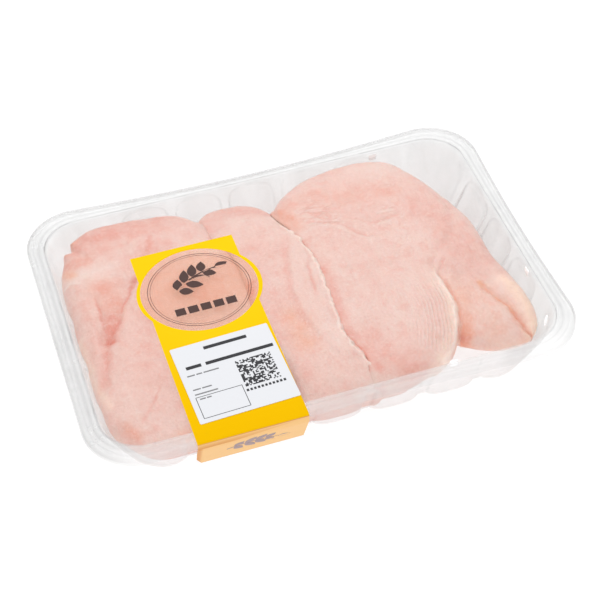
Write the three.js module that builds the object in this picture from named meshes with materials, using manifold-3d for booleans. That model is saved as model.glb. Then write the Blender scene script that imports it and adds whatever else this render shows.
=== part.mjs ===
// A sealed retail pack of raw chicken breast: a clear fluted tray, a clear lid film over its rim,
// a printed label folded down over the front rim, and three fillets lying side by side.
//
// Millimetres, +Z up. +X runs along the tray and +Y towards its back. The origin is the middle
// of the base, on the surface that the pack stands on.

import * as THREE from 'three';
import { mergeVertices } from 'three/addons/utils/BufferGeometryUtils.js';
import Module from 'manifold-3d';

const wasm = await Module();
wasm.setup();

// Tray rim: a flat flange with a lip turned down all round, its sides drawn in a little
const RIM = { halfX: 130, halfY: 92.5, radius: 27.6 };
const RIM_TOP = 37.6;
const RIM_BOW = { front: 2.5, back: 4.8, right: 1.7 };
const FLANGE = { thickness: 0.9, lipDrop: 2.8, lipThickness: 0.9, rounding: 0.7 };

// Tray wall: the valley lines between its flutes, at the mouth and at the base
const MOUTH = { halfX: 122, halfY: 84, radius: 22 };
const BASE = { halfX: 106.5, halfY: 69, radius: 21 };
const WALL = 0.8;
const BASE_EDGE = 3.2;
const BASE_EDGE_TURN = 0.3;

// Flutes: rounded lobes that stand out of the wall and end in arches just below the rim
const FLUTE_DEPTH = 3.6;
const LONG_FLUTES = { count: 5, pitch: 31 };
const SHORT_FLUTES = { count: 3, pitch: 32.6 };
const FLUTE_STEPS = 4;
const CORNER_STEPS = 9;
const ARCH_TOP = 35.5;
const ARCH_RISE = 5;
const ARCH_FADE = 9;

// Film, label and the white panel on it lie on the rim, one on the other
const GAP = 0.3;
const FILM = { thickness: 0.3, inset: 0.3 };
const LABEL = { left: -79, right: -22, back: 42.5, thickness: 0.3 };
const LABEL_OVAL = { x: -49.5, y: 8.6, halfX: 33.6, halfY: 30.5 };
const FLAP = { foldY: -92.5, kneeZ: 34.4, footY: -80.9, footZ: 9.5 };
const PANEL = { x: -49, y: -54.2, size: 52.4, corner: 0.8, thickness: 0.3, turn: Math.PI / 90 };

// Meat: the space it fills inside the tray, and how finely each fillet is drawn
const MEAT_CLEARANCE = 0.35;
const MEAT_FLOOR = WALL + MEAT_CLEARANCE;
const MEAT_CEILING = 37.3;
const MEAT_COLUMNS = 60;
const MEAT_ROWS = [0.2, 0.37, 0.51, 0.62, 0.71, 0.79, 0.86, 0.92, 0.965, 0.99, 1];
const MEAT_FOOT = [{ share: 0.8, z: 0 }, { share: 0.91, z: 4 }, { share: 0.98, z: 11 }];

const filmZ = RIM_TOP + GAP;
const labelZ = filmZ + FILM.thickness + GAP;
const panelZ = labelZ + LABEL.thickness + GAP;

const { lerp, smoothstep } = THREE.MathUtils;

const plastic = () => new THREE.MeshStandardMaterial({
  color: 0xf2f2f2, roughness: 0.12, metalness: 0, transparent: true, opacity: 0.3,
});
const meat = (color) => new THREE.MeshStandardMaterial({ color, roughness: 0.35, metalness: 0 });
const print = (color) => new THREE.MeshStandardMaterial({ color, roughness: 0.45, metalness: 0 });

// Turns rows of points into one closed body: a strip of faces between each row and the next,
// and a fan over the first row and over the last
function loft(rows, firstCentre, lastCentre) {
  const columns = rows[0].length;
  const points = rows.flat().concat([firstCentre, lastCentre]);
  const first = points.length - 2;
  const last = points.length - 1;
  const faces = [];
  for (let column = 0; column < columns; column++) {
    const next = (column + 1) % columns;
    const end = (rows.length - 1) * columns;
    faces.push(first, next, column, last, end + column, end + next);
    for (let row = 0; row < rows.length - 1; row++) {
      const low = row * columns;
      const high = low + columns;
      faces.push(low + column, low + next, high + next, low + column, high + next, high + column);
    }
  }
  const geometry = new THREE.BufferGeometry();
  geometry.setAttribute('position', new THREE.Float32BufferAttribute(points.flat(), 3));
  geometry.setIndex(faces);
  return geometry;
}

// The stretch of a rounded rectangle that turns the corner in +X +Y, from a point on its long
// side to a point on its short side, and the outward direction there
function cornerStretch({ halfX, halfY, radius }, fromX, toY, share) {
  const straightX = halfX - radius - fromX;
  const straightY = halfY - radius - toY;
  const arc = radius * Math.PI / 2;
  const along = share * (straightX + arc + straightY);
  if (along < straightX) return { x: fromX + along, y: halfY, nx: 0, ny: 1 };
  if (along > straightX + arc) {
    return { x: halfX, y: halfY - radius - (along - straightX - arc), nx: 1, ny: 0 };
  }
  const angle = Math.PI / 2 - (along - straightX) / radius;
  const nx = Math.cos(angle);
  const ny = Math.sin(angle);
  return { x: halfX - radius + radius * nx, y: halfY - radius + radius * ny, nx, ny };
}

// One entry for each column of the tray's wall, anticlockwise from the right side's front end:
// where it crosses a rounded rectangle, and how far up its lobe it stands, 0 to 1
function wallColumns() {
  const longEnd = LONG_FLUTES.count * LONG_FLUTES.pitch / 2;
  const shortEnd = SHORT_FLUTES.count * SHORT_FLUTES.pitch / 2;
  const lobe = (share) => 1 - (2 * share - 1) ** 2;
  const columns = [];
  const side = (flutes, end, at) => {
    const steps = flutes.count * FLUTE_STEPS;
    for (let i = 0; i < steps; i++) {
      const position = lerp(-end, end, i / steps);
      columns.push({ at: (shape) => at(shape, position), bulge: lobe(i % FLUTE_STEPS / FLUTE_STEPS) });
    }
  };
  const corner = (signX, signY, fromShortSide) => {
    for (let i = 0; i < CORNER_STEPS; i++) {
      const share = i / CORNER_STEPS;
      columns.push({
        bulge: lobe(share),
        at: (shape) => {
          const p = cornerStretch(shape, longEnd, shortEnd, fromShortSide ? 1 - share : share);
          return { x: signX * p.x, y: signY * p.y, nx: signX * p.nx, ny: signY * p.ny };
        },
      });
    }
  };
  side(SHORT_FLUTES, shortEnd, ({ halfX }, s) => ({ x: halfX, y: s, nx: 1, ny: 0 }));
  corner(1, 1, true);
  side(LONG_FLUTES, longEnd, ({ halfY }, s) => ({ x: -s, y: halfY, nx: 0, ny: 1 }));
  corner(-1, 1, false);
  side(SHORT_FLUTES, shortEnd, ({ halfX }, s) => ({ x: -halfX, y: -s, nx: -1, ny: 0 }));
  corner(-1, -1, true);
  side(LONG_FLUTES, longEnd, ({ halfY }, s) => ({ x: s, y: -halfY, nx: 0, ny: -1 }));
  corner(1, -1, false);
  return columns;
}

// The valley line of the wall at a height
function wallShape(z) {
  const share = Math.min(z / RIM_TOP, 1);
  return {
    halfX: lerp(BASE.halfX, MOUTH.halfX, share),
    halfY: lerp(BASE.halfY, MOUTH.halfY, share),
    radius: lerp(BASE.radius, MOUTH.radius, share),
  };
}

// How far a lobe stands out of the wall at a height: less towards the rim, nothing over its arch
function fluteDepth(bulge, z) {
  const archTop = ARCH_TOP - ARCH_RISE * (1 - bulge);
  const fade = 1 - smoothstep(z, archTop - ARCH_FADE, archTop);
  return FLUTE_DEPTH * bulge * fade * Math.sqrt(Math.max(0, 1 - z / RIM_TOP));
}

function wallRow(columns, z, inset) {
  return columns.map(({ at, bulge }) => {
    const p = at(wallShape(z));
    const out = fluteDepth(bulge, z) - inset;
    return [p.x + p.nx * out, p.y + p.ny * out, z];
  });
}

// The rim's outer edge, drawn in along the middle of each side
function rimPoint({ x, y, nx, ny }, inset) {
  const across = Math.max(0, Math.cos(x / (RIM.halfX - RIM.radius) * Math.PI / 2));
  const along = Math.max(0, Math.cos(y / (RIM.halfY - RIM.radius) * Math.PI / 2));
  const bowY = across * (y > 0 ? RIM_BOW.back : RIM_BOW.front);
  const bowX = along * (x > 0 ? RIM_BOW.right : 0);
  return [x - Math.sign(x) * bowX - nx * inset, y - Math.sign(y) * bowY - ny * inset];
}

function rimRow(columns, z, inset) {
  return columns.map(({ at }) => [...rimPoint(at(RIM), inset), z]);
}

function trayGeometry() {
  const columns = wallColumns();
  const wallHeights = [BASE_EDGE, 9, 17, 25, 30, 33, ARCH_TOP];
  const turn = BASE_EDGE * BASE_EDGE_TURN;
  const underside = RIM_TOP - FLANGE.thickness;
  const lipFoot = RIM_TOP - FLANGE.lipDrop;
  const outside = [
    wallRow(columns, 0, BASE_EDGE),
    wallRow(columns, turn, turn),
    ...wallHeights.map((z) => wallRow(columns, z, 0)),
  ];
  const flange = [
    wallRow(columns, underside, -FLANGE.rounding),
    rimRow(columns, underside, FLANGE.lipThickness + FLANGE.rounding),
    rimRow(columns, lipFoot, FLANGE.lipThickness),
    rimRow(columns, lipFoot, 0),
    rimRow(columns, RIM_TOP - FLANGE.rounding, 0),
    rimRow(columns, RIM_TOP, FLANGE.rounding),
    wallRow(columns, RIM_TOP, 0),
  ];
  const inside = [
    ...wallHeights.slice(1).reverse().map((z) => wallRow(columns, z, WALL)),
    wallRow(columns, BASE_EDGE + WALL, WALL),
    wallRow(columns, WALL + turn, WALL + turn),
    wallRow(columns, WALL, WALL + BASE_EDGE),
  ];
  return loft([...outside, ...flange, ...inside], [0, 0, 0], [0, 0, WALL]);
}

function filmGeometry() {
  const columns = wallColumns();
  const edge = rimRow(columns, 0, FILM.inset).map(([x, y]) => new THREE.Vector2(x, y));
  const geometry = new THREE.ExtrudeGeometry(new THREE.Shape(edge), {
    depth: FILM.thickness, bevelEnabled: false,
  });
  return geometry.translate(0, 0, filmZ);
}

// Solids for joining and cutting

function toSolid(geometry) {
  const bare = geometry.clone();
  bare.deleteAttribute('normal');
  bare.deleteAttribute('uv');
  const merged = mergeVertices(bare, 1e-4);
  return new wasm.Manifold(new wasm.Mesh({
    numProp: 3,
    vertProperties: new Float32Array(merged.attributes.position.array),
    triVerts: new Uint32Array(merged.index.array),
  }));
}

function toGeometry(solid) {
  const mesh = solid.getMesh();
  const geometry = new THREE.BufferGeometry();
  geometry.setAttribute('position', new THREE.BufferAttribute(mesh.vertProperties, 3));
  geometry.setIndex(new THREE.BufferAttribute(mesh.triVerts, 1));
  return geometry;
}

const largest = (solid) => solid.decompose().sort((a, b) => b.volume() - a.volume())[0];

// The same body, swollen by a margin
function swollen(geometry, margin) {
  const grown = geometry.clone();
  grown.computeVertexNormals();
  const { position, normal } = grown.attributes;
  for (let i = 0; i < position.count; i++) {
    position.setXYZ(
      i,
      position.getX(i) + margin * normal.getX(i),
      position.getY(i) + margin * normal.getY(i),
      position.getZ(i) + margin * normal.getZ(i),
    );
  }
  grown.deleteAttribute('normal');
  return grown;
}

// Label: a band with an oval round its window, and a flap that hangs from the fold at the rim

function labelGeometry() {
  const { left, right, back, thickness } = LABEL;
  const band = new THREE.Shape([
    new THREE.Vector2(left, FLAP.foldY),
    new THREE.Vector2(right, FLAP.foldY),
    new THREE.Vector2(right, back),
    new THREE.Vector2(left, back),
  ]);
  const oval = new THREE.Shape();
  oval.absellipse(LABEL_OVAL.x, LABEL_OVAL.y, LABEL_OVAL.halfX, LABEL_OVAL.halfY, 0, 2 * Math.PI);
  const plate = (shape) => new THREE.ExtrudeGeometry(shape, {
    depth: thickness, bevelEnabled: false, curveSegments: 48,
  }).translate(0, 0, labelZ);

  const inner = FLAP.foldY + thickness;
  const side = new THREE.Shape([
    new THREE.Vector2(FLAP.foldY, labelZ + thickness),
    new THREE.Vector2(FLAP.foldY, FLAP.kneeZ),
    new THREE.Vector2(FLAP.footY, FLAP.footZ),
    new THREE.Vector2(FLAP.footY + thickness, FLAP.footZ),
    new THREE.Vector2(inner, FLAP.kneeZ),
    new THREE.Vector2(inner, labelZ),
    new THREE.Vector2(inner + thickness, labelZ),
    new THREE.Vector2(inner + thickness, labelZ + thickness),
  ]);
  const flap = new THREE.ExtrudeGeometry(side, { depth: right - left, bevelEnabled: false })
    .rotateX(Math.PI / 2)
    .rotateZ(Math.PI / 2)
    .translate(left, 0, 0);
  return toGeometry(toSolid(plate(band)).add(toSolid(plate(oval))).add(toSolid(flap)));
}

// White panel with rounded corners, laid a little askew
function panelGeometry() {
  const half = PANEL.size / 2;
  const { corner } = PANEL;
  const shape = new THREE.Shape();
  shape.absarc(half - corner, half - corner, corner, 0, Math.PI / 2);
  shape.absarc(corner - half, half - corner, corner, Math.PI / 2, Math.PI);
  shape.absarc(corner - half, corner - half, corner, Math.PI, Math.PI * 1.5);
  shape.absarc(half - corner, corner - half, corner, Math.PI * 1.5, Math.PI * 2);
  return new THREE.ExtrudeGeometry(shape, {
    depth: PANEL.thickness, bevelEnabled: false, curveSegments: 3,
  });
}

// Meat

// The room inside the tray, clear of its walls, its floor and the film
function cavityGeometry() {
  const onArc = ({ at }) => at(MOUTH).nx % 1 !== 0;
  const columns = wallColumns().filter((column) => column.bulge === 0 || onArc(column));
  const row = (z, extra) => columns.map(({ at }) => {
    const p = at(wallShape(z));
    const inset = WALL + MEAT_CLEARANCE + extra;
    return [p.x - p.nx * inset, p.y - p.ny * inset, z];
  });
  const rows = [
    row(MEAT_FLOOR, BASE_EDGE),
    row(MEAT_FLOOR + BASE_EDGE * BASE_EDGE_TURN, BASE_EDGE * BASE_EDGE_TURN),
    row(MEAT_FLOOR + BASE_EDGE, 0),
    row(MEAT_CEILING, 0),
  ];
  return loft(rows, [0, 0, MEAT_FLOOR], [0, 0, MEAT_CEILING]);
}

// How deep a crease is at a point: deepest on its line, gone a few widths away
function crease(line, depth, width) {
  const spans = line.slice(1).map((end, i) => [line[i], end]);
  return (x, y) => {
    const distances = spans.map(([[ax, ay], [bx, by]]) => {
      const length = (bx - ax) ** 2 + (by - ay) ** 2;
      const share = ((x - ax) * (bx - ax) + (y - ay) * (by - ay)) / length;
      const t = Math.min(1, Math.max(0, share));
      return Math.hypot(x - lerp(ax, bx, t), y - lerp(ay, by, t));
    });
    return depth * Math.exp(-((Math.min(...distances) / width) ** 2));
  };
}

// A fillet: a closed outline, listed clockwise from its back, domed from its edge height up to
// its crown, with relief on top and its foot drawn in by a share of its width
function filletGeometry({ outline, middle, edge, crown, relief, undercut }) {
  const curve = new THREE.CatmullRomCurve3(
    outline.map(([x, y]) => new THREE.Vector3(x, y, 0)), true, 'centripetal',
  );
  const rim = curve.getSpacedPoints(MEAT_COLUMNS).slice(0, MEAT_COLUMNS).reverse();
  const place = (point, share, height) => {
    const x = lerp(middle[0], point.x, share);
    const y = lerp(middle[1], point.y, share);
    return [x, y, height(x, y)];
  };
  const top = (share) => (x, y) => {
    const dome = edge + (crown - edge) * Math.sqrt(1 - share ** 6);
    return dome - relief(x, y) * Math.sqrt(1 - share ** 16);
  };
  const rows = [
    ...MEAT_FOOT.map(({ share, z }) => rim.map((p) => place(p, share - undercut(p.x, p.y), () => z))),
    ...MEAT_ROWS.slice().reverse().map((share) => rim.map((p) => place(p, share, top(share)))),
  ];
  const lastCentre = [...middle, top(0)(...middle)];
  return loft(rows, [...middle, 0], lastCentre);
}

const leftCreases = [
  crease([[-105, 28], [-104, 8], [-104, -6]], 2.6, 8),
  crease([[-81, 30], [-94, 4], [-104, -6], [-111, -32]], 3, 8),
];

const leftFillet = {
  middle: [-74, -2],
  edge: 25,
  crown: 35.2,
  outline: [
    [-92, 87], [-70, 86], [-50, 80], [-37, 66], [-26, 44], [-21, 12], [-21, -25], [-25, -62],
    [-36, -80], [-70, -86], [-100, -81], [-113, -62], [-118, -30], [-119, 10], [-118, 46],
    [-111, 68], [-104, 79],
  ],
  relief: (x, y) => leftCreases.reduce((sum, depth) => sum + depth(x, y), 0),
  undercut: () => 0,
};

const middleFillet = {
  middle: [-6, -6],
  edge: 25,
  crown: 36.6,
  outline: [
    [-32, 74], [-18, 79], [-2, 75], [10, 61], [17.5, 38], [19.5, 12], [17, -20], [16, -46],
    [19.5, -62], [17, -78], [-2, -85], [-20, -80], [-26, -52], [-28, -18], [-25, 12], [-27, 36],
    [-36, 60],
  ],
  relief: (x, y) => 6 * smoothstep(y, 30, 78),
  undercut: () => 0,
};

// Right fillet: its front flap ends in a rounded edge that stands over the lower part beside it
const FLAP_EDGE = { x: 76.5, y: -37, curve: 0.0105, drop: 7.5, fadeFrom: -24, fadeTo: 12 };
const rightGroove = crease([[97, -34], [103, -51], [107, -66]], 2.4, 4);

function flapDrop(x, y) {
  const edgeX = FLAP_EDGE.x - FLAP_EDGE.curve * (y - FLAP_EDGE.y) ** 2;
  const past = smoothstep(x - edgeX, -7, 2);
  return FLAP_EDGE.drop * past * (1 - smoothstep(y, FLAP_EDGE.fadeFrom, FLAP_EDGE.fadeTo));
}

const rightFillet = {
  middle: [58, 2],
  edge: 24,
  crown: 35.8,
  outline: [
    [4, 42], [15, 70], [32, 82], [56, 88], [80, 82], [91, 68], [102, 46], [109.5, 23], [111, -8],
    [112.5, -30], [117, -44], [116, -58], [106, -69], [88, -72], [75, -68], [66, -73], [52, -80],
    [22, -82], [4, -75], [0, -30],
  ],
  relief: (x, y) => flapDrop(x, y) + rightGroove(x, y) + 3.5 * smoothstep(x, 66, 112),
  undercut: (x, y) => smoothstep(-y, 30, 60) * lerp(0.08, 0.16, smoothstep(x, 55, 85)),
};

function filletGeometries() {
  const cavity = toSolid(cavityGeometry());
  const middleRaw = filletGeometry(middleFillet);
  const room = toSolid(swollen(middleRaw, MEAT_CLEARANCE));
  const beside = (shape) => largest(toSolid(filletGeometry(shape)).intersect(cavity).subtract(room));
  return {
    left: toGeometry(beside(leftFillet)),
    middle: toGeometry(largest(toSolid(middleRaw).intersect(cavity))),
    right: toGeometry(beside(rightFillet)),
  };
}

// The pack

function piece(name, geometry, material) {
  const mesh = new THREE.Mesh(geometry, material);
  mesh.name = name;
  return mesh;
}

const fillets = filletGeometries();
const panel = piece('white_panel', panelGeometry(), print(0xeff0f4));
panel.position.set(PANEL.x, PANEL.y, panelZ);
panel.rotation.z = PANEL.turn;

const pack = new THREE.Group();
pack.add(
  piece('tray', trayGeometry(), plastic()),
  piece('film', filmGeometry(), plastic()),
  piece('label', labelGeometry(), print(0xfece02)),
  panel,
  piece('fillet_left', fillets.left, meat(0xf0c6ba)),
  piece('fillet_middle', fillets.middle, meat(0xf1c8bc)),
  piece('fillet_right', fillets.right, meat(0xeec3b8)),
);

export default pack;
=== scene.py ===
"""A sealed pack of raw chicken breast: clear tray, lid film, printed label and three fillets.

The file is laid out as an add-on. Each operator makes one piece, or a group of like pieces, round
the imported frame. Lengths are metres; what is written in millimetres goes through MM or mm().
+X runs along the tray, +Y towards its back, and the tray stands on z = 0.
"""

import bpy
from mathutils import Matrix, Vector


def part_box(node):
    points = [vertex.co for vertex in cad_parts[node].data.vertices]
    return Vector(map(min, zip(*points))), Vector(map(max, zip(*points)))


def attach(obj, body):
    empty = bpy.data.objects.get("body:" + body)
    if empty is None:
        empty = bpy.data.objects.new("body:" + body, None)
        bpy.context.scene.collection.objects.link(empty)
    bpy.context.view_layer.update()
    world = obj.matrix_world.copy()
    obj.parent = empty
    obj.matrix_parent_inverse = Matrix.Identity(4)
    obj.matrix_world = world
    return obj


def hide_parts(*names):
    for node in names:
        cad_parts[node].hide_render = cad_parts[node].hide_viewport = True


bl_info = {
    "name": "Chicken Breast Pack",
    "version": (1, 0, 0),
    "blender": (4, 5, 0),
    "location": "View3D > Sidebar > Chicken Pack",
    "description": "Builds a clear tray of raw chicken fillets with its film, label and studio",
    "category": "Add Mesh",
}

import math
import random

import bpy
import numpy as np
from mathutils import Matrix, Vector, noise

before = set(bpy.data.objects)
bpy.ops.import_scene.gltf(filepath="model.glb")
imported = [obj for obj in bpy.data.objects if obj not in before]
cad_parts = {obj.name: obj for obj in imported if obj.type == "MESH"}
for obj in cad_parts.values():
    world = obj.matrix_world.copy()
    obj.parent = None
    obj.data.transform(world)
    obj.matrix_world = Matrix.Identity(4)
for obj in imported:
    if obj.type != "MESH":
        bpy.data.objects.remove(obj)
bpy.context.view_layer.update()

MM = 0.001
TRAY_LOW, TRAY_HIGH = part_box("tray")
FILM_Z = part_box("film")[0].z
LABEL_LOW, LABEL_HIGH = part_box("label")
LABEL_DROP = 0.3 * MM
LABEL_Z = LABEL_HIGH.z - LABEL_DROP
PANEL_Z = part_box("white_panel")[0].z


def mm(values):
    """Millimetres as an array of metres."""
    return np.array(values, float) * MM


def length(name, value, description):
    """A size property in metres, from its default in millimetres."""
    return bpy.props.FloatProperty(
        name=name, description=description, default=value * MM, unit="LENGTH", precision=4
    )


def tint(name, value, description):
    """A colour property, from a linear colour."""
    return bpy.props.FloatVectorProperty(
        name=name, description=description, default=value, subtype="COLOR", size=3, min=0, max=1
    )


def turn(name, degrees, description):
    """An angle property, from its default in degrees."""
    return bpy.props.FloatProperty(
        name=name, description=description, default=math.radians(degrees), subtype="ANGLE"
    )


def amount(name, value, description):
    """A plain number property."""
    return bpy.props.FloatProperty(name=name, description=description, default=value)


# Sizes and colours


class TraySizes(bpy.types.PropertyGroup):
    """The clear tray: its mouth and base are the valley lines between its flutes."""

    rim_x: length("Rim half length", -TRAY_LOW.x / MM, "From the middle to the rim's left end")
    rim_y: length("Rim half width", 92.5, "From the middle to the rim's side at a corner")
    rim_radius: length("Rim corner", 27.6, "Radius of the rim's outer corners")
    mouth_x: length("Mouth half length", 122, "Half length of the wall at the rim")
    mouth_y: length("Mouth half width", 84, "Half width of the wall at the rim")
    mouth_radius: length("Mouth corner", 22, "Corner radius of the wall at the rim")
    base_x: length("Base half length", 106.5, "Half length of the wall at the base")
    base_y: length("Base half width", 69, "Half width of the wall at the base")
    base_radius: length("Base corner", 21, "Corner radius of the wall at the base")
    wall: length("Wall", 0.6, "Thickness of the plastic")
    base_edge: length("Base edge", 3.2, "Radius of the edge between wall and base")
    lip: length("Lip", 2.8, "How far the rim's lip turns down")
    flute: length("Flute depth", 3.6, "How far a flute stands out of the wall at the base")
    haze: tint("Haze", (0.92, 0.92, 0.925), "Colour of the plastic where it is clearest")
    # Frost also carries painted shade: its strength differs from side to side of the tray
    frost: tint("Frosted wall", (0.60, 0.60, 0.60), "Colour of the wall's haze")
    # Painted shade: colour of the dark lines that stand for refraction along bends and flutes
    line_shade: tint("Creases", (0.27, 0.27, 0.275), "Colour of thin lines along edges and flutes")


class FilmSizes(bpy.types.PropertyGroup):
    """The lid film sealed over the rim."""

    inset: length("Inset", 0.3, "How far the film ends inside the rim's edge")
    thickness: length("Thickness", 0.15, "Thickness of the film")
    haze: tint("Haze", (0.9, 0.9, 0.91), "Colour of the film's haze")
    frost: tint("Frost", (0.85, 0.85, 0.86), "Colour where the film is frosted")
    # Painted shade: colour of dark lines that stand for refraction
    line_shade: tint("Creases", (0.6, 0.6, 0.61), "Colour of thin lines in the film")


class LabelSizes(bpy.types.PropertyGroup):
    """The printed label: a band with a round window, folded down over the front rim."""

    left: length("Left edge", -79, "X of the band's left edge")
    right: length("Right edge", -22, "X of the band's right edge")
    oval_x: length("Oval half width", 33.6, "Half width of the round part that carries the window")
    oval_y: length("Oval half height", 30.5, "Half height of the round part")
    window_x: length("Window half width", 31.4, "Half width of the window")
    window_y: length("Window half height", 30.2, "Half height of the window")
    ring: length("Ring", 27.6, "Radius of the outer of the two thin rings in the window")
    thickness: length("Thickness", 0.22, "Thickness of the label")
    print_thickness: length("Print", 0.05, "Thickness of the printed shapes")
    yellow: tint("Band", (1.0, 0.64, 0.0), "Colour of the band")
    # Painted shade: the band's colour near the fold, where it turns down
    fold: tint("Fold", (0.97, 0.55, 0.0), "Colour of the band where it meets the fold")
    flap: tint("Flap", (0.93, 0.575, 0.25), "Colour of the flap that hangs from the rim")
    # Painted shade on the flap's curled left edge
    curl_shade: tint("Curled edge", (0.72, 0.32, 0.1), "Colour of the flap's curled left edge")
    pane: tint("Window tint", (0.85, 0.42, 0.22), "Tint of the window")
    ink: tint("Ink", (0.075, 0.035, 0.03), "Brown of the printed shapes")
    faded_ink: tint("Faded ink", (0.36, 0.26, 0.27), "Grey of the shape on the flap")


class PanelSizes(bpy.types.PropertyGroup):
    """The white panel stuck on the label, with its plain printed bars."""

    size: length("Size", 52.4, "Length of the panel's sides")
    corner: length("Corner", 0.8, "Radius of the panel's corners")
    thickness: length("Thickness", 0.16, "Thickness of the paper")
    turn: turn("Turn", 2, "How far the panel lies askew")
    cell: length("Square", 0.78, "Size of a small square in the block of squares")
    seed: bpy.props.IntProperty(name="Seed", description="Picks which squares are dark", default=7)
    paper: tint("Paper", (0.80, 0.81, 0.845), "Colour of the paper")
    ink: tint("Ink", (0.03, 0.03, 0.035), "Colour of the printed bars")
    grey_ink: tint("Grey ink", (0.24, 0.24, 0.25), "Colour of the smallest lines")


class MeatColours(bpy.types.PropertyGroup):
    """The raw meat: its colours and how finely a fillet is drawn."""

    flesh: tint("Flesh", (0.82, 0.535, 0.465), "Most of the meat")
    # Deeper flesh, also used as painted shade in creases and where one fillet shades another
    deep: tint("Deep flesh", (0.76, 0.27, 0.20), "Creases and the meat between two fillets")
    # Also used as painted light that brightens the right fillet's shaded flap slope
    pale: tint("Membrane", (0.84, 0.65, 0.58), "Pale membrane and stretched surfaces")
    # A bright colour on thin edges: the middle fillet's pale membrane edge, and a painted highlight
    # on the right fillet's flap edge, standing for light that it catches and lets through
    lip: tint("Lip", (1.0, 0.81, 0.72), "Colour of thin bright edges")
    # Also used as painted light that brightens the right fillet's shaded flap slope
    fat: tint("Fat", (1.0, 0.79, 0.65), "Cream fat along edges and rolls")
    warm: tint("Warm flesh", (0.86, 0.42, 0.26), "Orange flesh in grooves and thin edges")
    grain: length("Grain", 0.75, "Size of the mesh's faces")
    columns: bpy.props.IntProperty(name="Columns", description="Faces round a fillet", default=320)
    rows: bpy.props.IntProperty(name="Rows", description="Faces from bottom to top", default=110)


class StageSettings(bpy.types.PropertyGroup):
    """Camera, floor and studio light."""

    lens: amount("Lens", 97.54, "Focal length in millimetres")
    distance: length("Distance", 851.94, "From the camera to the point that it looks at")
    pitch: turn("Pitch", 46.07, "How far the camera looks down")
    yaw: turn("Yaw", 16.52, "How far the camera looks to the right of the tray's depth")
    roll: turn("Roll", -2.23, "How far the camera is rolled")
    sky: amount("Sky", 0.76, "Brightness of the room")
    glow: amount("Floor glow", 0.86, "Brightness of the lit floor")
    key: amount("Key light", 5.7, "Power of the large lamp behind the pack, in watts")
    fill: amount("Fill light", 2.5, "Power of the lamp beside the camera, in watts")


GROUPS = {
    "tray_sizes": TraySizes,
    "film_sizes": FilmSizes,
    "label_sizes": LabelSizes,
    "panel_sizes": PanelSizes,
    "meat_colours": MeatColours,
    "stage_settings": StageSettings,
}


# Modelling

SHARP_ANGLE = math.radians(50)


def pick(piece):
    """Selects one object alone and makes it the active one."""
    bpy.ops.object.select_all(action="DESELECT")
    piece.select_set(True)
    bpy.context.view_layer.objects.active = piece
    return piece


def named(name):
    """Names the object that was just added."""
    piece = bpy.context.active_object
    piece.name = name
    piece.data.name = name
    return piece


def modify(piece, kind, **settings):
    """Adds a modifier and applies it."""
    pick(piece)
    bpy.ops.object.modifier_add(type=kind)
    modifier = piece.modifiers[-1]
    for name, value in settings.items():
        setattr(modifier, name, value)
    bpy.ops.object.modifier_apply(modifier=modifier.name)


def settle(piece):
    """Puts the object's place into its mesh."""
    pick(piece)
    bpy.ops.object.transform_apply(location=True, rotation=True, scale=True)
    return piece


def smooth(piece):
    """Shades the piece smooth, except across its sharp edges."""
    pick(piece)
    bpy.ops.object.shade_smooth_by_angle(angle=SHARP_ANGLE)


def close_up(piece, inside=False):
    """Joins points that coincide and turns the faces outwards, or inwards."""
    pick(piece)
    bpy.ops.object.mode_set(mode="EDIT")
    bpy.ops.mesh.select_all(action="SELECT")
    bpy.ops.mesh.remove_doubles(threshold=1e-6)
    bpy.ops.mesh.normals_make_consistent(inside=inside)
    bpy.ops.object.mode_set(mode="OBJECT")


def points_of(piece):
    """The mesh's points as an array."""
    flat = np.empty(len(piece.data.vertices) * 3)
    piece.data.vertices.foreach_get("co", flat)
    return flat.reshape(-1, 3)


def place_points(piece, points):
    """Moves the mesh's points."""
    piece.data.vertices.foreach_set("co", np.asarray(points, float).ravel())
    piece.data.update()


def paint(piece, name, values):
    """Stores one number for each point, for the material to read."""
    attribute = piece.data.attributes.new(name, "FLOAT", "POINT")
    attribute.data.foreach_set("value", np.asarray(values, np.float32))


def loft(name, rows, **tones):
    """A grid whose lines take their places from rows of points, each row closed round.

    Tones are numbers for the same points, painted on the mesh.
    """
    rows = np.concatenate([rows, rows[:, :1]], axis=1)
    across, along = rows.shape[1] - 1, rows.shape[0] - 1
    bpy.ops.object.select_all(action="DESELECT")
    bpy.ops.mesh.primitive_grid_add(x_subdivisions=across, y_subdivisions=along, size=1)
    piece = named(name)
    grid = points_of(piece) + 0.5
    column = np.rint(grid[:, 0] * across).astype(int)
    row = np.rint(grid[:, 1] * along).astype(int)
    place_points(piece, rows[row, column])
    for tone, values in tones.items():
        paint(piece, tone, values[row, column % across])
    close_up(piece)
    return piece


def cut_sheet(name, outlines, thickness, z):
    """A flat sheet cut to closed outlines, with its lower face at z.

    An outline inside another one is a hole.
    """
    bpy.ops.object.select_all(action="DESELECT")
    bpy.ops.curve.primitive_bezier_circle_add()
    piece = named(name)
    curve = piece.data
    curve.splines.clear()
    curve.dimensions = "2D"
    curve.fill_mode = "BOTH" if thickness else "FRONT"
    curve.extrude = thickness / 2
    for outline in outlines:
        spline = curve.splines.new("POLY")
        spline.points.add(len(outline) - 1)
        flat = np.zeros((len(outline), 4))
        flat[:, :2] = outline
        flat[:, 3] = 1
        spline.points.foreach_set("co", flat.ravel())
        spline.use_cyclic_u = True
    pick(piece)
    bpy.ops.object.convert(target="MESH")
    piece = bpy.context.active_object
    piece.location.z = z + thickness / 2
    settle(piece)
    close_up(piece)
    return piece


def share_between(low, high, values):
    """0 below low, 1 above high, and smooth between them."""
    t = np.clip((values - low) / (high - low), 0, 1)
    return t * t * (3 - 2 * t)


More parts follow.
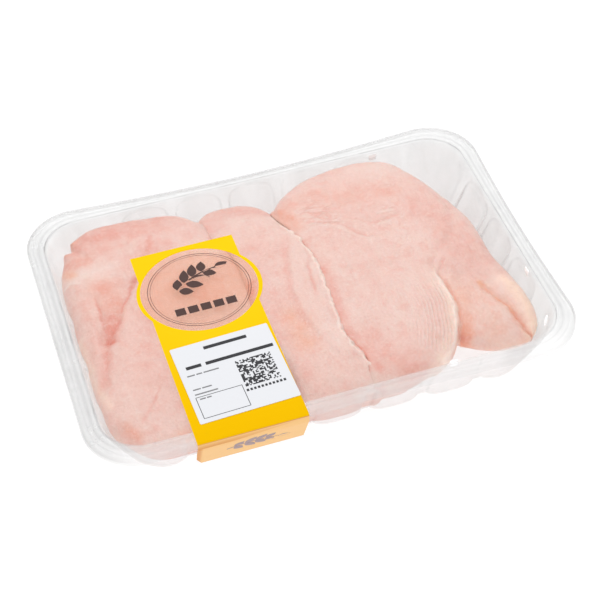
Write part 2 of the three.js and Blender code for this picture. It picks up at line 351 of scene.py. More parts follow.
def beside_line(points, line):
    """How far each point lies to the left of a line seen from above, and its share along it."""
    steps = np.diff(line, axis=0)
    lengths = np.hypot(*steps.T)
    starts = np.concatenate([[0], np.cumsum(lengths)])
    distance = np.full(len(points), np.inf)
    share = np.zeros(len(points))
    for start, span, size, run in zip(line, steps, lengths, starts):
        from_start = points[:, :2] - start
        t = np.clip(from_start @ span / size**2, 0, 1)
        gap = from_start - t[:, None] * span
        side = np.where(span[0] * from_start[:, 1] > span[1] * from_start[:, 0], 1, -1)
        away = np.hypot(*gap.T)
        nearer = away < np.abs(distance)
        distance = np.where(nearer, side * away, distance)
        share = np.where(nearer, (run + t * size) / starts[-1], share)
    return distance, share


# Finishes


class Value:
    """A number that varies over a surface. Arithmetic on it adds Math nodes."""

    def __init__(self, finish, socket):
        self.finish = finish
        self.socket = socket

    def math(self, operation, *others, **settings):
        values = dict(enumerate(others))
        made = self.finish.node("ShaderNodeMath", {"operation": operation, **settings}, values)
        return Value(self.finish, made.outputs[0])

    def __add__(self, other):
        return self.math("ADD", self, other)

    def __mul__(self, other):
        return self.math("MULTIPLY", self, other)

    def __sub__(self, other):
        return self.math("SUBTRACT", self, other)

    def __rsub__(self, other):
        return self.math("SUBTRACT", other, self)

    def __pow__(self, other):
        return self.math("POWER", self, other)

    __radd__ = __add__
    __rmul__ = __mul__

    def clipped(self):
        """The same number, kept between 0 and 1."""
        return self.math("ADD", self, 0, use_clamp=True)


class Finish:
    """A material and its nodes."""

    def __init__(self, name):
        self.material = bpy.data.materials.new(name)
        self.material.use_nodes = True
        self.tree = self.material.node_tree
        self.shader = self.tree.nodes["Principled BSDF"]
        self.output = self.tree.nodes["Material Output"]

    def set(self, node, values):
        """Gives a node's sockets their values or links."""
        for key, value in values.items():
            socket = node.inputs[key]
            if isinstance(value, Value):
                self.tree.links.new(value.socket, socket)
            elif isinstance(value, bpy.types.NodeSocket):
                self.tree.links.new(value, socket)
            elif socket.type == "RGBA" and len(value) == 3:
                socket.default_value = (*value, 1)
            else:
                socket.default_value = value

    def node(self, kind, settings=None, values=None):
        """Any node, from its type, its settings and what its sockets get."""
        made = self.tree.nodes.new(kind)
        for name, value in (settings or {}).items():
            setattr(made, name, value)
        self.set(made, values or {})
        return made

    def surface(self, **values):
        """Sets the main shader's sockets; underscores stand for spaces."""
        self.set(self.shader, {name.replace("_", " "): value for name, value in values.items()})

    def place(self, scale=(1, 1, 1), rotation=(0, 0, 0)):
        """Object coordinates, stretched and turned."""
        coordinates = self.node("ShaderNodeTexCoord").outputs["Object"]
        return self.node(
            "ShaderNodeMapping", {}, {"Vector": coordinates, "Scale": scale, "Rotation": rotation}
        ).outputs[0]

    def noise(self, scale, detail=3.0, roughness=0.5, distortion=0.0, vector=None):
        """Cloudy noise, near 0.5 on average, on Object coordinates unless it gets a vector."""
        made = self.node("ShaderNodeTexNoise", {}, {
            "Vector": vector or self.place(), "Scale": scale, "Detail": detail,
            "Roughness": roughness, "Distortion": distortion,
        })
        return Value(self, made.outputs["Fac"])

    def spread(self, value, low, high):
        """A number stretched so that low gives 0 and high gives 1."""
        made = self.node("ShaderNodeMapRange", {"interpolation_type": "SMOOTHSTEP"}, {
            "Value": value, "From Min": low, "From Max": high,
        })
        return Value(self, made.outputs[0])

    def painted(self, name):
        """A number painted on the mesh."""
        made = self.node("ShaderNodeAttribute", {"attribute_name": name})
        return Value(self, made.outputs["Fac"])

    def mix(self, share, first, second):
        """The first colour where share is 0, and the second where it is 1."""
        made = self.node("ShaderNodeMix", {"data_type": "RGBA"}, {0: share, 6: first, 7: second})
        return made.outputs[2]

    def bump(self, height, distance):
        """Small relief on the surface, as deep as distance where height goes from 0 to 1."""
        made = self.node("ShaderNodeBump", {}, {"Height": height, "Distance": distance})
        self.set(self.shader, {"Normal": made.outputs[0]})

    def facing(self):
        """0 where the surface faces the eye, and 1 where it is seen edge on."""
        made = self.node("ShaderNodeLayerWeight", {}, {"Blend": 0.5})
        return Value(self, made.outputs["Facing"])

    def see_through(self, solid):
        """Lets what is behind show, but for the share given as solid."""
        clear = self.node("ShaderNodeBsdfTransparent").outputs[0]
        mixed = self.node("ShaderNodeMixShader", {}, {
            0: solid, 1: clear, 2: self.shader.outputs[0],
        })
        self.set(self.output, {"Surface": mixed.outputs[0]})


def scaled(colour, share, lift=0):
    """A colour made darker by a share, and then paler by an equal lift."""
    return tuple(lift + share * part for part in colour)


def clear_plastic(name, sizes, haze, edge, wave):
    """Clear plastic: a faint haze, thicker where it is frosted or seen edge on, with painted shade
    in its lines and frost.

    Haze is how solid it looks from straight ahead, edge how much that grows when it is seen edge
    on, and wave the depth of its soft waves.
    """
    finish = Finish(name)
    frost = finish.painted("frost")
    broken = finish.spread(finish.noise(70, detail=2), 0.4, 0.62)
    # Painted shade: dark lines along bends and flute edges, standing for the shade that refraction
    # shows there
    line = finish.painted("line") * (0.4 + 0.6 * broken)
    streak = finish.noise(90, detail=2, vector=finish.place(scale=(1, 1, 0.12)))
    # Frost greys the plastic; its painted strength carries shade that differs from side to side
    colour = finish.mix(frost, sizes.haze, sizes.frost)
    finish.surface(
        Base_Color=finish.mix((line * 0.9).clipped(), colour, sizes.line_shade),
        Roughness=0.04 * streak + 0.08,
        IOR=1.5,
    )
    finish.bump(finish.noise(38, detail=1.5), wave)
    thick = haze + frost * (0.09 + 0.1 * streak) + line * 0.45
    finish.see_through((thick + finish.facing() ** 3 * edge).clipped())
    return finish.material


def glowing_plastic(name):
    """Thick clear plastic with a painted glow: a faint emission stands for the light that it
    catches from the whole pack.
    """
    finish = Finish(name)
    cloud = finish.noise(400, detail=2)
    finish.surface(
        Base_Color=finish.mix(cloud, (0.92, 0.91, 0.91), (0.98, 0.97, 0.97)),
        Roughness=0.25,
        # Painted glow: the lugs emit light, though they are no lamp
        Emission_Color=(1, 0.97, 0.97),
        Emission_Strength=0.17,
    )
    return finish.material


def printed_plastic(name, colour, shaded):
    """Printed film: an even colour, darker where shade is painted, with a soft shine."""
    finish = Finish(name)
    uneven = finish.spread(finish.noise(22, detail=2), 0.3, 0.75)
    colour = finish.mix(uneven * 0.25, colour, scaled(colour, 0.9))
    finish.surface(
        Base_Color=finish.mix(finish.painted("shade"), colour, shaded),
        Roughness=0.04 * finish.noise(320) + 0.34,
        Specular_IOR_Level=0.03,
    )
    finish.bump(finish.noise(60, detail=2), 0.12 * MM)
    return finish.material


def paper(name, colour):
    """Coated paper with a fine tooth."""
    finish = Finish(name)
    tooth = finish.noise(900, detail=4)
    finish.surface(
        Base_Color=finish.mix(tooth * 0.35, colour, scaled(colour, 0.93)), Roughness=0.5
    )
    finish.bump(tooth, 0.03 * MM)
    return finish.material


def ink(name, colour):
    """Printing ink, a little thin in places."""
    finish = Finish(name)
    thin = finish.spread(finish.noise(1400, detail=3), 0.45, 0.8)
    finish.surface(
        Base_Color=finish.mix(thin * 0.5, colour, scaled(colour, 0.94, lift=0.02)),
        Roughness=0.42,
        Specular_IOR_Level=0.15,
    )
    return finish.material


def window_pane(name, colour):
    """The label's clear window, with a warm tint."""
    finish = Finish(name)
    cloud = finish.noise(30, detail=2)
    finish.surface(
        Base_Color=finish.mix(cloud * 0.4, colour, scaled(colour, 0.8)), Roughness=0.18
    )
    finish.see_through((0.19 + finish.facing() ** 4 * 0.5).clipped())
    return finish.material


def raw_meat(name, colours, grain_turn):
    """Raw chicken: moist pink flesh with fibres, pale membrane and cream fat, with painted shade in
    creases and seams and a painted highlight on thin edges.
    """
    finish = Finish(name)
    along = finish.place(scale=(1.0, 0.2, 0.6), rotation=(0, 0, grain_turn))
    across = finish.place(scale=(0.3, 1.0, 0.6))
    cloud = finish.noise(30, roughness=0.55)
    mottle = finish.noise(150, detail=4, roughness=0.62)
    speck = finish.noise(700, detail=4, roughness=0.68)
    fibre = finish.noise(520, roughness=0.65, distortion=0.3, vector=along)
    strand = finish.noise(160, roughness=0.6, distortion=0.6, vector=along)
    fold = finish.noise(190, detail=2, roughness=0.55, distortion=0.8, vector=across)
    fold = finish.spread(fold, 0.38, 0.5) * (1 - finish.spread(fold, 0.5, 0.62))
    fold = fold * finish.painted("crumple") * finish.spread(cloud, 0.4, 0.6)
    wave = finish.painted("stripe_place") * (2 * math.pi) + 3 * mottle
    stripe = (wave.math("SINE", wave) * 0.5 + 0.5) * finish.painted("stripe")
    stripe = stripe * (0.5 + 0.5 * finish.spread(strand, 0.35, 0.65))

    uneven = finish.spread(mottle, 0.3, 0.62) * 0.45 + 0.72
    # Painted tones: deep also carries painted shade in creases and seams; pale and fat also carry
    # painted light on the right fillet's flap edge
    painted = [
        ((finish.painted(tone) * uneven).clipped(), getattr(colours, tone))
        for tone in ("pale", "fat", "warm", "deep")
    ]
    flesh = colours.flesh
    for share, colour in (
        (finish.spread(cloud, 0.36, 0.66) * 0.4, colours.pale),
        (finish.spread(mottle, 0.46, 0.72) * 0.28, colours.deep),
        (finish.spread(strand, 0.5, 0.72) * 0.25, colours.pale),
        (finish.spread(fibre, 0.5, 0.75) * 0.14, colours.deep),
        (fold * 0.45, colours.deep),
        *painted,
        # Pale membrane edge, and a painted highlight on the flap's edge
        (finish.painted("lip"), colours.lip),
        (finish.painted("stripe") * 0.16, colours.deep),
        (stripe * 0.75, colours.pale),
        (finish.spread(speck, 0.5, 0.75) * 0.3, (0.95, 0.80, 0.75)),
        (finish.spread(speck, 0.5, 0.25) * 0.3, (0.62, 0.36, 0.30)),
    ):
        flesh = finish.mix(share, flesh, colour)

    finish.surface(
        Base_Color=flesh,
        Roughness=finish.spread(mottle, 0.2, 0.8) * 0.16 + 0.28,
        Subsurface_Weight=0.25,
        Subsurface_Radius=(1.0, 0.4, 0.28),
        Subsurface_Scale=0.0025,
        IOR=1.4,
    )
    relief = fibre * 0.6 + strand * 0.8 + mottle + speck * 0.9 + stripe - fold
    finish.bump(relief, 0.35 * MM)
    return finish.material


# Tray

LONG_FLUTES = 5
LONG_PITCH = 31 * MM
SHORT_FLUTES = 3
SHORT_PITCH = 32.6 * MM
LONG_END = LONG_FLUTES * LONG_PITCH / 2
SHORT_END = SHORT_FLUTES * SHORT_PITCH / 2
FLUTE_COLUMNS = 30
CORNER_COLUMNS = 56
FLUTE_SHARE = 0.86
RIM_BOW_FRONT = 2.5 * MM
RIM_BOW_BACK = 4.8 * MM
RIM_BOW_RIGHT = 1.7 * MM
RIM_TOP = TRAY_HIGH.z

# How square and steep a flute is across, and how it fades out upwards
FLUTE_SQUARE = 3.2
FLUTE_STEEP = 0.75
FLUTE_FADE = 1.3

# The arch that ends a flute, and the thin painted dark line along it, which stands for refraction
# shade at the flute's edge: its place, its width and its fading
ARCH_TOP = 35.3 * MM
ARCH_RISE = 9 * MM
ARCH_LINE = 0.97
ARCH_LINE_WIDTH = 0.06
ARCH_LINE_FADE = 0.6

# Rows of the tray's surface: shares of the way from the base's middle to its edge, steps round the
# edge, and the heights of the wall's rows, which stand closer together over the arches
BASE_SHARES = (0, 0.25, 0.5, 0.75, 0.94)
EDGE_STEPS = 6
WALL_STEPS = 13
ARCHES_START = 26 * MM
ARCH_ROWS = mm(np.linspace(26.5, 36.3, 20))


def wall_line(half_x, half_y, radius):
    """A rounded rectangle's points and outward directions, one for each column of the wall."""
    straight_x = half_x - radius - LONG_END
    straight_y = half_y - radius - SHORT_END
    arc = radius * math.pi / 2
    share = np.arange(CORNER_COLUMNS) / CORNER_COLUMNS

    def corner(shares, sign_x, sign_y):
        along = shares * (straight_x + arc + straight_y)
        angle = math.pi / 2 - np.clip((along - straight_x) / radius, 0, math.pi / 2)
        out = np.stack([np.cos(angle), np.sin(angle)], axis=1)
        spot = np.array([half_x - radius, half_y - radius]) + radius * out
        spot[:, 0] -= np.clip(straight_x - along, 0, None)
        spot[:, 1] -= np.clip(along - straight_x - arc, 0, None)
        sign = np.array([sign_x, sign_y])
        return np.concatenate([spot * sign, out * sign], axis=1)

    def side(flutes, pitch, line):
        middles = (np.arange(flutes) - (flutes - 1) / 2) * pitch
        steps = middles[:, None] + flute_spread() * pitch / 2
        return np.array([line(step) for step in steps.ravel()])

    columns = np.concatenate([
        side(SHORT_FLUTES, SHORT_PITCH, lambda s: (half_x, s, 1, 0)),
        corner(1 - share, 1, 1),
        side(LONG_FLUTES, LONG_PITCH, lambda s: (-s, half_y, 0, 1)),
        corner(share, -1, 1),
        side(SHORT_FLUTES, SHORT_PITCH, lambda s: (-half_x, -s, -1, 0)),
        corner(1 - share, -1, -1),
        side(LONG_FLUTES, LONG_PITCH, lambda s: (s, -half_y, 0, -1)),
        corner(share, 1, -1),
    ])
    return columns[:, :2], columns[:, 2:]


def flute_spread():
    """Places across one flute from -1 to 1, closer together towards its sides."""
    t = np.arange(FLUTE_COLUMNS) / FLUTE_COLUMNS * 2 - 1
    return (3 * t - t**3) / 2


def along_wall(flute, corner):
    """One number for each column, from those of one flute and of one corner."""
    half = [np.tile(flute, SHORT_FLUTES), corner, np.tile(flute, LONG_FLUTES), corner]
    return np.concatenate(half * 2)


def flute_places():
    """Where each column stands in its flute: -1 and 1 at the flute's sides, 0 in its middle."""
    corner = np.arange(CORNER_COLUMNS) / CORNER_COLUMNS * 2 - 1
    return along_wall(flute_spread(), corner) / FLUTE_SHARE


def side_shade(sizes, front, left, right, back):
    """One number for each column, smooth from one side of the tray to the next, for painted shade
    that differs by side.
    """
    x, y = wall_line(sizes.mouth_x, sizes.mouth_y, sizes.mouth_radius)[1].T
    return x**2 * np.where(x > 0, right, left) + y**2 * np.where(y > 0, back, front)


def wall_shape(sizes, z):
    """The wall's rounded rectangle at a height."""
    share = min(z / RIM_TOP, 1)
    return [
        (1 - share) * base + share * mouth
        for base, mouth in (
            (sizes.base_x, sizes.mouth_x),
            (sizes.base_y, sizes.mouth_y),
            (sizes.base_radius, sizes.mouth_radius),
        )
    ]


def wall_row(sizes, z, inset):
    """One level of the wall, its flutes standing out and ending in arches below the rim."""
    spot, out = wall_line(*wall_shape(sizes, z))
    depth = flute_depth(flute_places(), z, sizes.flute)
    flat = spot + out * (depth - inset)[:, None]
    return np.column_stack([flat, np.full(len(flat), z)])


def up_arch(z):
    """Share of the way up the arches at a height."""
    return np.clip((z - (ARCH_TOP - ARCH_RISE)) / ARCH_RISE, 0, 1)


def flute_depth(place, z, deepest):
    """How far a flute stands out: steep at its sides, and fading out towards its top."""
    across = (1 - np.clip(np.abs(place), 0, 1) ** FLUTE_SQUARE) ** FLUTE_STEEP
    fading = (1 - up_arch(z) ** 2) ** FLUTE_FADE
    return deepest * np.sqrt(np.clip(1 - z / RIM_TOP, 0, 1)) * across * fading


def arch_line(z):
    """How strongly each column gets the painted dark line along its flute's outline, which ends in
    a round arch; the line is painted refraction shade.
    """
    above = up_arch(z)
    reach = np.hypot(np.abs(flute_places()) ** 1.5, above**1.5)
    outline = np.exp(-(((reach - ARCH_LINE) / ARCH_LINE_WIDTH) ** 2)) * (1 - ARCH_LINE_FADE * above)
    return outline * along_wall(np.ones(FLUTE_COLUMNS), np.zeros(CORNER_COLUMNS))


def rim_line(sizes, inset):
    """The rim's outer edge, drawn in a little along the middle of its sides."""
    spot, out = wall_line(sizes.rim_x, sizes.rim_y, sizes.rim_radius)
    x, y = spot.T
    across = np.cos(np.clip(x / (sizes.rim_x - sizes.rim_radius), -1, 1) * math.pi / 2)
    along = np.cos(np.clip(y / (sizes.rim_y - sizes.rim_radius), -1, 1) * math.pi / 2)
    bow_x = along * np.where(x > 0, RIM_BOW_RIGHT, 0)
    bow_y = across * np.where(y > 0, RIM_BOW_BACK, RIM_BOW_FRONT)
    return spot - np.sign(spot) * np.stack([bow_x, bow_y], axis=1) - out * inset


def tray_rows(sizes):
    """The tray's inner and upper surface, from the middle of its base to the foot of its lip.

    Each point also gets how frosted it is, with painted shade that differs from side to side, and
    how strongly it gets a painted dark line that stands for refraction shade.
    """
    wall, edge = sizes.wall, sizes.base_edge
    rows, frost, line = [], [], []
    # Painted shade: frost and line strength differ from side to side, standing for how differently
    # each side of the tray is lit
    wall_frost = side_shade(sizes, front=0.25, left=0.9, right=1.5, back=1.4)
    rim_frost = side_shade(sizes, front=0.5, left=2.6, right=1.8, back=1.2)
    strength = side_shade(sizes, front=0.6, left=1.1, right=1.0, back=0.5)

    def add(points, frosted, lined=0):
        rows.append(points)
        frost.append(np.zeros(len(points)) + frosted)
        line.append(strength * lined)

    foot = wall_row(sizes, wall, wall + edge)
    centre = np.array([0, 0, wall])
    for share in BASE_SHARES:
        add(centre + (foot - centre) * share, frosted=0.3)
    for angle in np.linspace(0, math.pi / 2, EDGE_STEPS):
        lift = edge * (1 - math.cos(angle))
        inset = edge * (1 - math.sin(angle))
        add(wall_row(sizes, wall + lift, wall + inset), wall_frost * 0.8, lined=0.1)
    for z in (*np.linspace(wall + edge, ARCHES_START, WALL_STEPS)[1:], *ARCH_ROWS):
        add(wall_row(sizes, z, wall), wall_frost, 0.5 * arch_line(z))

    mouth = wall_row(sizes, RIM_TOP, wall)[:, :2]
    rim = rim_line(sizes, 0)
    for share, drop, lined in FLANGE_SECTION:
        flat = mouth + (rim - mouth) * share
        add(np.column_stack([flat, np.full(len(rim), RIM_TOP - drop * MM)]), rim_frost, lined)
    add(np.column_stack([rim, np.full(len(rim), RIM_TOP - sizes.lip)]), frosted=0.3, lined=0.05)
    return np.array(rows), np.array(frost), np.array(line)


# Section of the flange: share of the way from mouth to rim, how many millimetres below the rim's
# top, and how strongly it gets a painted dark line, standing for refraction shade at its bends
FLANGE_SECTION = [
    (0.0, 0.6, 0), (0.03, 0.45, 0.8), (0.08, 0.12, 0), (0.15, 0, 0), (0.3, 0, 0),
    (0.34, 0.25, 0.15), (0.4, 0.5, 0), (0.62, 0.5, 0), (0.68, 0.25, 0.1), (0.72, 0, 0),
    (0.9, 0, 0), (0.965, 0.12, 0), (1, 0.6, 0.08),
]


# Stacking lugs below the flange: place on the wall, and the way that they face, in degrees
LUG_SIZE = mm([4.6, 1.0, 4.2])
LUG_EDGE = 0.45 * MM
LUG_DROP = 3.9 * MM
LUGS = [((74, 82.4), 90), ((119.9, -33), 0), ((114.8, -69), -40), ((59, -80.6), -90)]


class PACK_OT_tray(bpy.types.Operator):
    """Make the clear fluted tray"""

    bl_idname = "pack.tray"
    bl_label = "Tray"

    def execute(self, context):
        sizes = context.scene.tray_sizes
        rows, frost, line = tray_rows(sizes)
        tray = loft("tray_clear", rows, frost=frost, line=line)
        close_up(tray, inside=True)
        modify(tray, "SOLIDIFY", thickness=sizes.wall, offset=-1)
        smooth(tray)
        tray.data.materials.append(
            clear_plastic("clear_tray", sizes, haze=0.05, edge=0.35, wave=0.2 * MM)
        )
        tray.visible_shadow = False
        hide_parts("tray")
        lugs = self.make_lugs(sizes)
        for piece in (tray, lugs):
            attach(piece, "root")
        return {"FINISHED"}

    def make_lugs(self, sizes):
        """Small rounded lugs that stand in from the wall, copied from one and joined."""
        bpy.ops.object.select_all(action="DESELECT")
        bpy.ops.mesh.primitive_cube_add(size=1, scale=LUG_SIZE)
        first = settle(named("tray_lug"))
        modify(first, "BEVEL", width=LUG_EDGE, segments=3)
        lugs = [first]
        while len(lugs) < len(LUGS):
            pick(first)
            bpy.ops.object.duplicate(linked=False)
            lugs.append(named("tray_lug"))
        for lug, (place, facing) in zip(lugs, LUGS):
            lug.location = (*mm(place), RIM_TOP - LUG_DROP)
            lug.rotation_euler = (0, 0, math.radians(facing - 90))
            settle(lug)
        for lug in lugs:
            lug.select_set(True)
        bpy.ops.object.join()
        piece = named("tray_lugs")
        smooth(piece)
        piece.data.materials.append(glowing_plastic("glowing_lugs"))
        piece.visible_shadow = False
        return piece


class PACK_OT_film(bpy.types.Operator):
    """Make the lid film"""

    bl_idname = "pack.film"
    bl_label = "Lid film"

    def execute(self, context):
        sizes = context.scene.film_sizes
        outline = rim_line(context.scene.tray_sizes, sizes.inset)
        film = cut_sheet("lid_film", [outline], sizes.thickness, FILM_Z)
        smooth(film)
        film.data.materials.append(
            clear_plastic("clear_film", sizes, haze=0.02, edge=0.25, wave=0.3 * MM)
        )
        film.visible_shadow = False
        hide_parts("film")
        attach(film, "root")
        return {"FINISHED"}


# Label

WINDOW_CENTRE = mm([-49.6, 8.8])
OVAL_CENTRE = mm([-49.5, 8.6])
BAND_FRONT = -91.3 * MM
BAND_BACK = LABEL_HIGH.y
BAND_STEPS = 39
OVAL_STEPS = 24
FOLD_RADIUS = 1.2 * MM
FOLD_STEPS = 6
FOLD_SHADE = mm([-75, -91])
FLAP_FROM = 0.6
KNEE_Z = 34.4 * MM
FOOT_Y = -80.9 * MM
FOOT_Z = LABEL_LOW.z
FLAP_STEPS = 6
CURL_WIDTH = 3 * MM
CURL_SHADE = 2 * MM
CURL_TURN = 1.0

# The window's pane, and what is printed on it
PANE_RISE = 0.06 * MM
PANE_THICKNESS = 0.1 * MM
PANE_EDGE = 0.1 * MM
RING_EDGES = mm([0, 0.3, 1.35, 1.55])
RING_SQUASH = 0.965
SPRIG_PLACE = mm([-1.5, 7.5])
SPRIG_SIZE = 30 * MM
SPRIG_TURN = math.radians(28)
BARS_PLACE = mm([0, -13.2])
BARS_PITCH = mm([6.9, 0])
BAR_SIZE = mm([5.4, 5])

# The leaves along a sprig's stem: the point of the stem that they spring from, and their length
LEAF_PAIRS = ((2, 0.26), (5, 0.32), (8, 0.31), (11, 0.25))
LEAF_ANGLE = 0.85
LEAF_BREADTH = 0.085

# The angle, length and breadth of the leaf at the tip
TIP_LEAF = (-0.25, 0.26, 0.075)

# The sprig on the flap: its middle, its size, and how far it lies below the knee and off the flap
FLAP_SPRIG_X = -50 * MM
FLAP_SPRIG_SIZE = 27 * MM
FLAP_SPRIG_DOWN = 12 * MM
FLAP_SPRIG_RISE = 0.02 * MM


def ellipse(centre, half_x, half_y, steps=96, start=0.0, sweep=2 * math.pi, closed=True):
    """Points on an ellipse or on a stretch of it."""
    angle = start + np.linspace(0, sweep, steps, endpoint=not closed)
    x = centre[0] + half_x * np.cos(angle)
    y = centre[1] + half_y * np.sin(angle)
    return np.stack([x, y], axis=1)


def bar(x, y, width, height):
    """A rectangle from its middle and size."""
    dx, dy = width / 2, height / 2
    return np.array([(x - dx, y - dy), (x + dx, y - dy), (x + dx, y + dy), (x - dx, y + dy)])


def band_outline(sizes):
    """The band with its round part standing out at both sides."""
    right = math.acos((sizes.right - OVAL_CENTRE[0]) / sizes.oval_x)
    left = math.acos((OVAL_CENTRE[0] - sizes.left) / sizes.oval_x)
    oval = (OVAL_CENTRE, sizes.oval_x, sizes.oval_y, OVAL_STEPS)
    return np.concatenate([
        [(x, BAND_FRONT) for x in np.linspace(sizes.left, sizes.right, BAND_STEPS)],
        ellipse(*oval, start=-right, sweep=2 * right, closed=False),
        [(sizes.right, BAND_BACK), (sizes.left, BAND_BACK)],
        ellipse(*oval, start=math.pi - left, sweep=2 * left, closed=False),
    ])


def turned(points, angle):
    """Flat points turned round the origin."""
    cos, sin = math.cos(angle), math.sin(angle)
    return points @ np.array([[cos, sin], [-sin, cos]])


def leaf(base, angle, size, breadth):
    """A pointed leaf's outline, from its base along an angle, widest just before its middle."""
    t = np.linspace(0, 1, 12)
    half = breadth * np.sin(math.pi * t**0.85) ** 0.9
    spine = np.stack([t * size, 0 * t], axis=1)
    side = np.stack([0 * t, half], axis=1)
    outline = np.concatenate([spine + side, (spine - side)[-2:0:-1]])
    return turned(outline, angle) + base


def sprig(centre, size, turn_by):
    """A plain leafy sprig: a bent stem with leaves in pairs and one at its tip."""
    t = np.linspace(-0.5, 0.5, 16)
    stem = np.stack([t, 0.1 * (0.25 - t**2) * 4 - 0.05], axis=1)
    half = np.stack([0 * t, 0.012 + 0.01 * (0.5 - t)], axis=1)
    outlines = [np.concatenate([stem + half, (stem - half)[::-1]])]
    for place, reach in LEAF_PAIRS:
        for side in (1, -1):
            foot = stem[place] + (0.01, 0.02 * side)
            outlines.append(leaf(foot, side * LEAF_ANGLE, reach, LEAF_BREADTH))
    outlines.append(leaf(stem[-1] - (0.02, 0), *TIP_LEAF))
    return [turned(outline * size, turn_by) + centre for outline in outlines]


class PACK_OT_label(bpy.types.Operator):
    """Make the printed label, its window and what is printed on them"""

    bl_idname = "pack.label"
    bl_label = "Label"

    def execute(self, context):
        sizes = context.scene.label_sizes
        band = self.make_band(sizes)
        band.visible_shadow = band.visible_diffuse = False
        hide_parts("label")
        pane_z = LABEL_Z + PANE_RISE
        window = ellipse(WINDOW_CENTRE, sizes.window_x + PANE_EDGE, sizes.window_y + PANE_EDGE)
        pane = cut_sheet("label_window", [window], PANE_THICKNESS, pane_z)
        pane.data.materials.append(window_pane("window_tint", sizes.pane))

        middle_bar = WINDOW_CENTRE + BARS_PLACE
        shapes = {
            "window_rings": [
                ellipse(WINDOW_CENTRE, radius, radius * RING_SQUASH)
                for radius in sizes.ring - RING_EDGES
            ],
            "window_sprig": sprig(WINDOW_CENTRE + SPRIG_PLACE, SPRIG_SIZE, SPRIG_TURN),
            "window_bars": [
                bar(*(middle_bar + BARS_PITCH * step), *BAR_SIZE) for step in (-2, -1, 0, 1, 2)
            ],
        }
        brown = ink("brown_ink", sizes.ink)
        prints = [
            cut_sheet(name, outlines, sizes.print_thickness, pane_z + PANE_THICKNESS)
            for name, outlines in shapes.items()
        ]
        for piece in prints:
            piece.data.materials.append(brown)
        prints.append(self.make_flap_print(sizes))
        for piece in (band, pane, *prints):
            piece.visible_shadow = False
            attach(piece, "root")
        return {"FINISHED"}

    def make_band(self, sizes):
        """The band, spun over the fold and drawn down to the flap's foot."""
        window = ellipse(WINDOW_CENTRE, sizes.window_x, sizes.window_y)
        top = LABEL_Z + sizes.thickness
        band = cut_sheet("label_band", [band_outline(sizes), window], 0, top)
        pick(band)
        front = points_of(band)[:, 1] < BAND_FRONT + 0.01 * MM
        for edge in band.data.edges:
            edge.select = bool(front[list(edge.vertices)].all())
        for point in band.data.vertices:
            point.select = bool(front[point.index])
        for face in band.data.polygons:
            face.select = False
        bpy.ops.object.mode_set(mode="EDIT")
        bpy.ops.mesh.select_mode(type="EDGE")
        bpy.ops.mesh.spin(
            steps=FOLD_STEPS, angle=-math.pi / 2, axis=(1, 0, 0),
            center=(0, BAND_FRONT, top - FOLD_RADIUS),
        )
        drops = [(0, 0, KNEE_Z - top + FOLD_RADIUS)]
        slope = Vector((0, FOOT_Y - BAND_FRONT + FOLD_RADIUS, FOOT_Z - KNEE_Z))
        drops += [slope / FLAP_STEPS] * FLAP_STEPS
        for drop in drops:
            bpy.ops.mesh.extrude_region_move(TRANSFORM_OT_translate={"value": drop})
        bpy.ops.object.mode_set(mode="OBJECT")
        close_up(band)

        points = points_of(band)
        down = np.clip((KNEE_Z - points[:, 2]) / (KNEE_Z - FOOT_Z), 0, 1)
        curled = np.clip(sizes.left + CURL_WIDTH - points[:, 0], 0, None) * (down > 0)
        bend = CURL_TURN * np.sqrt(down)
        points[:, 0] += curled * (1 - np.cos(bend))
        points[:, 1] += curled * np.sin(bend)
        place_points(band, points)
        # Painted shade: darker towards the fold and on the flap's curled left edge
        near_fold = share_between(*FOLD_SHADE, points[:, 1]) * (points[:, 2] > top - FOLD_RADIUS)
        paint(band, "shade", np.maximum(near_fold, share_between(0, CURL_SHADE, curled)))
        modify(band, "SOLIDIFY", thickness=sizes.thickness, offset=-1)
        smooth(band)
        band.data.materials.append(printed_plastic("yellow_print", sizes.yellow, sizes.fold))
        band.data.materials.append(printed_plastic("flap_print", sizes.flap, sizes.curl_shade))
        for face in band.data.polygons:
            face.material_index = int(face.center.z < top - FOLD_RADIUS * FLAP_FROM)
        return band

    def make_flap_print(self, sizes):
        """The faded sprig printed on the flap."""
        outlines = sprig((0, 0), FLAP_SPRIG_SIZE, 0)
        piece = cut_sheet("flap_sprig", outlines, sizes.print_thickness, 0)
        piece.data.materials.append(ink("faded_ink", sizes.faded_ink))
        knee = Vector((0, BAND_FRONT - FOLD_RADIUS, KNEE_Z))
        down = Vector((0, FOOT_Y, FOOT_Z)) - knee
        steep = math.atan2(-down.z, down.y)
        piece.rotation_euler = (math.pi - steep, 0, 0)
        spot = knee + down.normalized() * FLAP_SPRIG_DOWN
        out = Vector((0, -math.sin(steep), -math.cos(steep)))
        piece.location = Vector((FLAP_SPRIG_X, spot.y, spot.z)) + out * FLAP_SPRIG_RISE
        return settle(piece)


# White panel

PANEL_CENTRE = mm([-49, -54.2])
PANEL_RISE = 0.03 * MM
PANEL_PRINT = 0.05 * MM
SQUARES_CENTRE = mm([11.8, -2.2])
DARK_SHARE = 0.52
SQUARE_FILL = 0.97
TITLE_HEIGHT = 2.1 * MM
LINE_HEIGHT = 0.8 * MM
MARK_HEIGHT = 1.5 * MM
BOX_LINE = 0.3 * MM


def block_of_squares(centre, cell, across, up, seed):
    """A block of small squares, some of them dark, picked at random."""
    draw = random.Random(seed)
    squares = []
    for row in range(up):
        for column in range(across):
            if draw.random() < DARK_SHARE:
                x = centre[0] + (column - (across - 1) / 2) * cell
                y = centre[1] + (row - (up - 1) / 2) * cell
                squares.append(bar(x, y, cell * SQUARE_FILL, cell * SQUARE_FILL))
    return squares


def broken_line(x, y, lengths, height, gap):
    """A row of short bars, from its left end."""
    bars = []
    for size in lengths:
        bars.append(bar(x + size / 2, y, size, height))
        x += size + gap
    return bars


def frame_outline(x, y, width, height, line):
    """A thin rectangular frame."""
    return [bar(x, y, width, height), bar(x, y, width - 2 * line, height - 2 * line)]


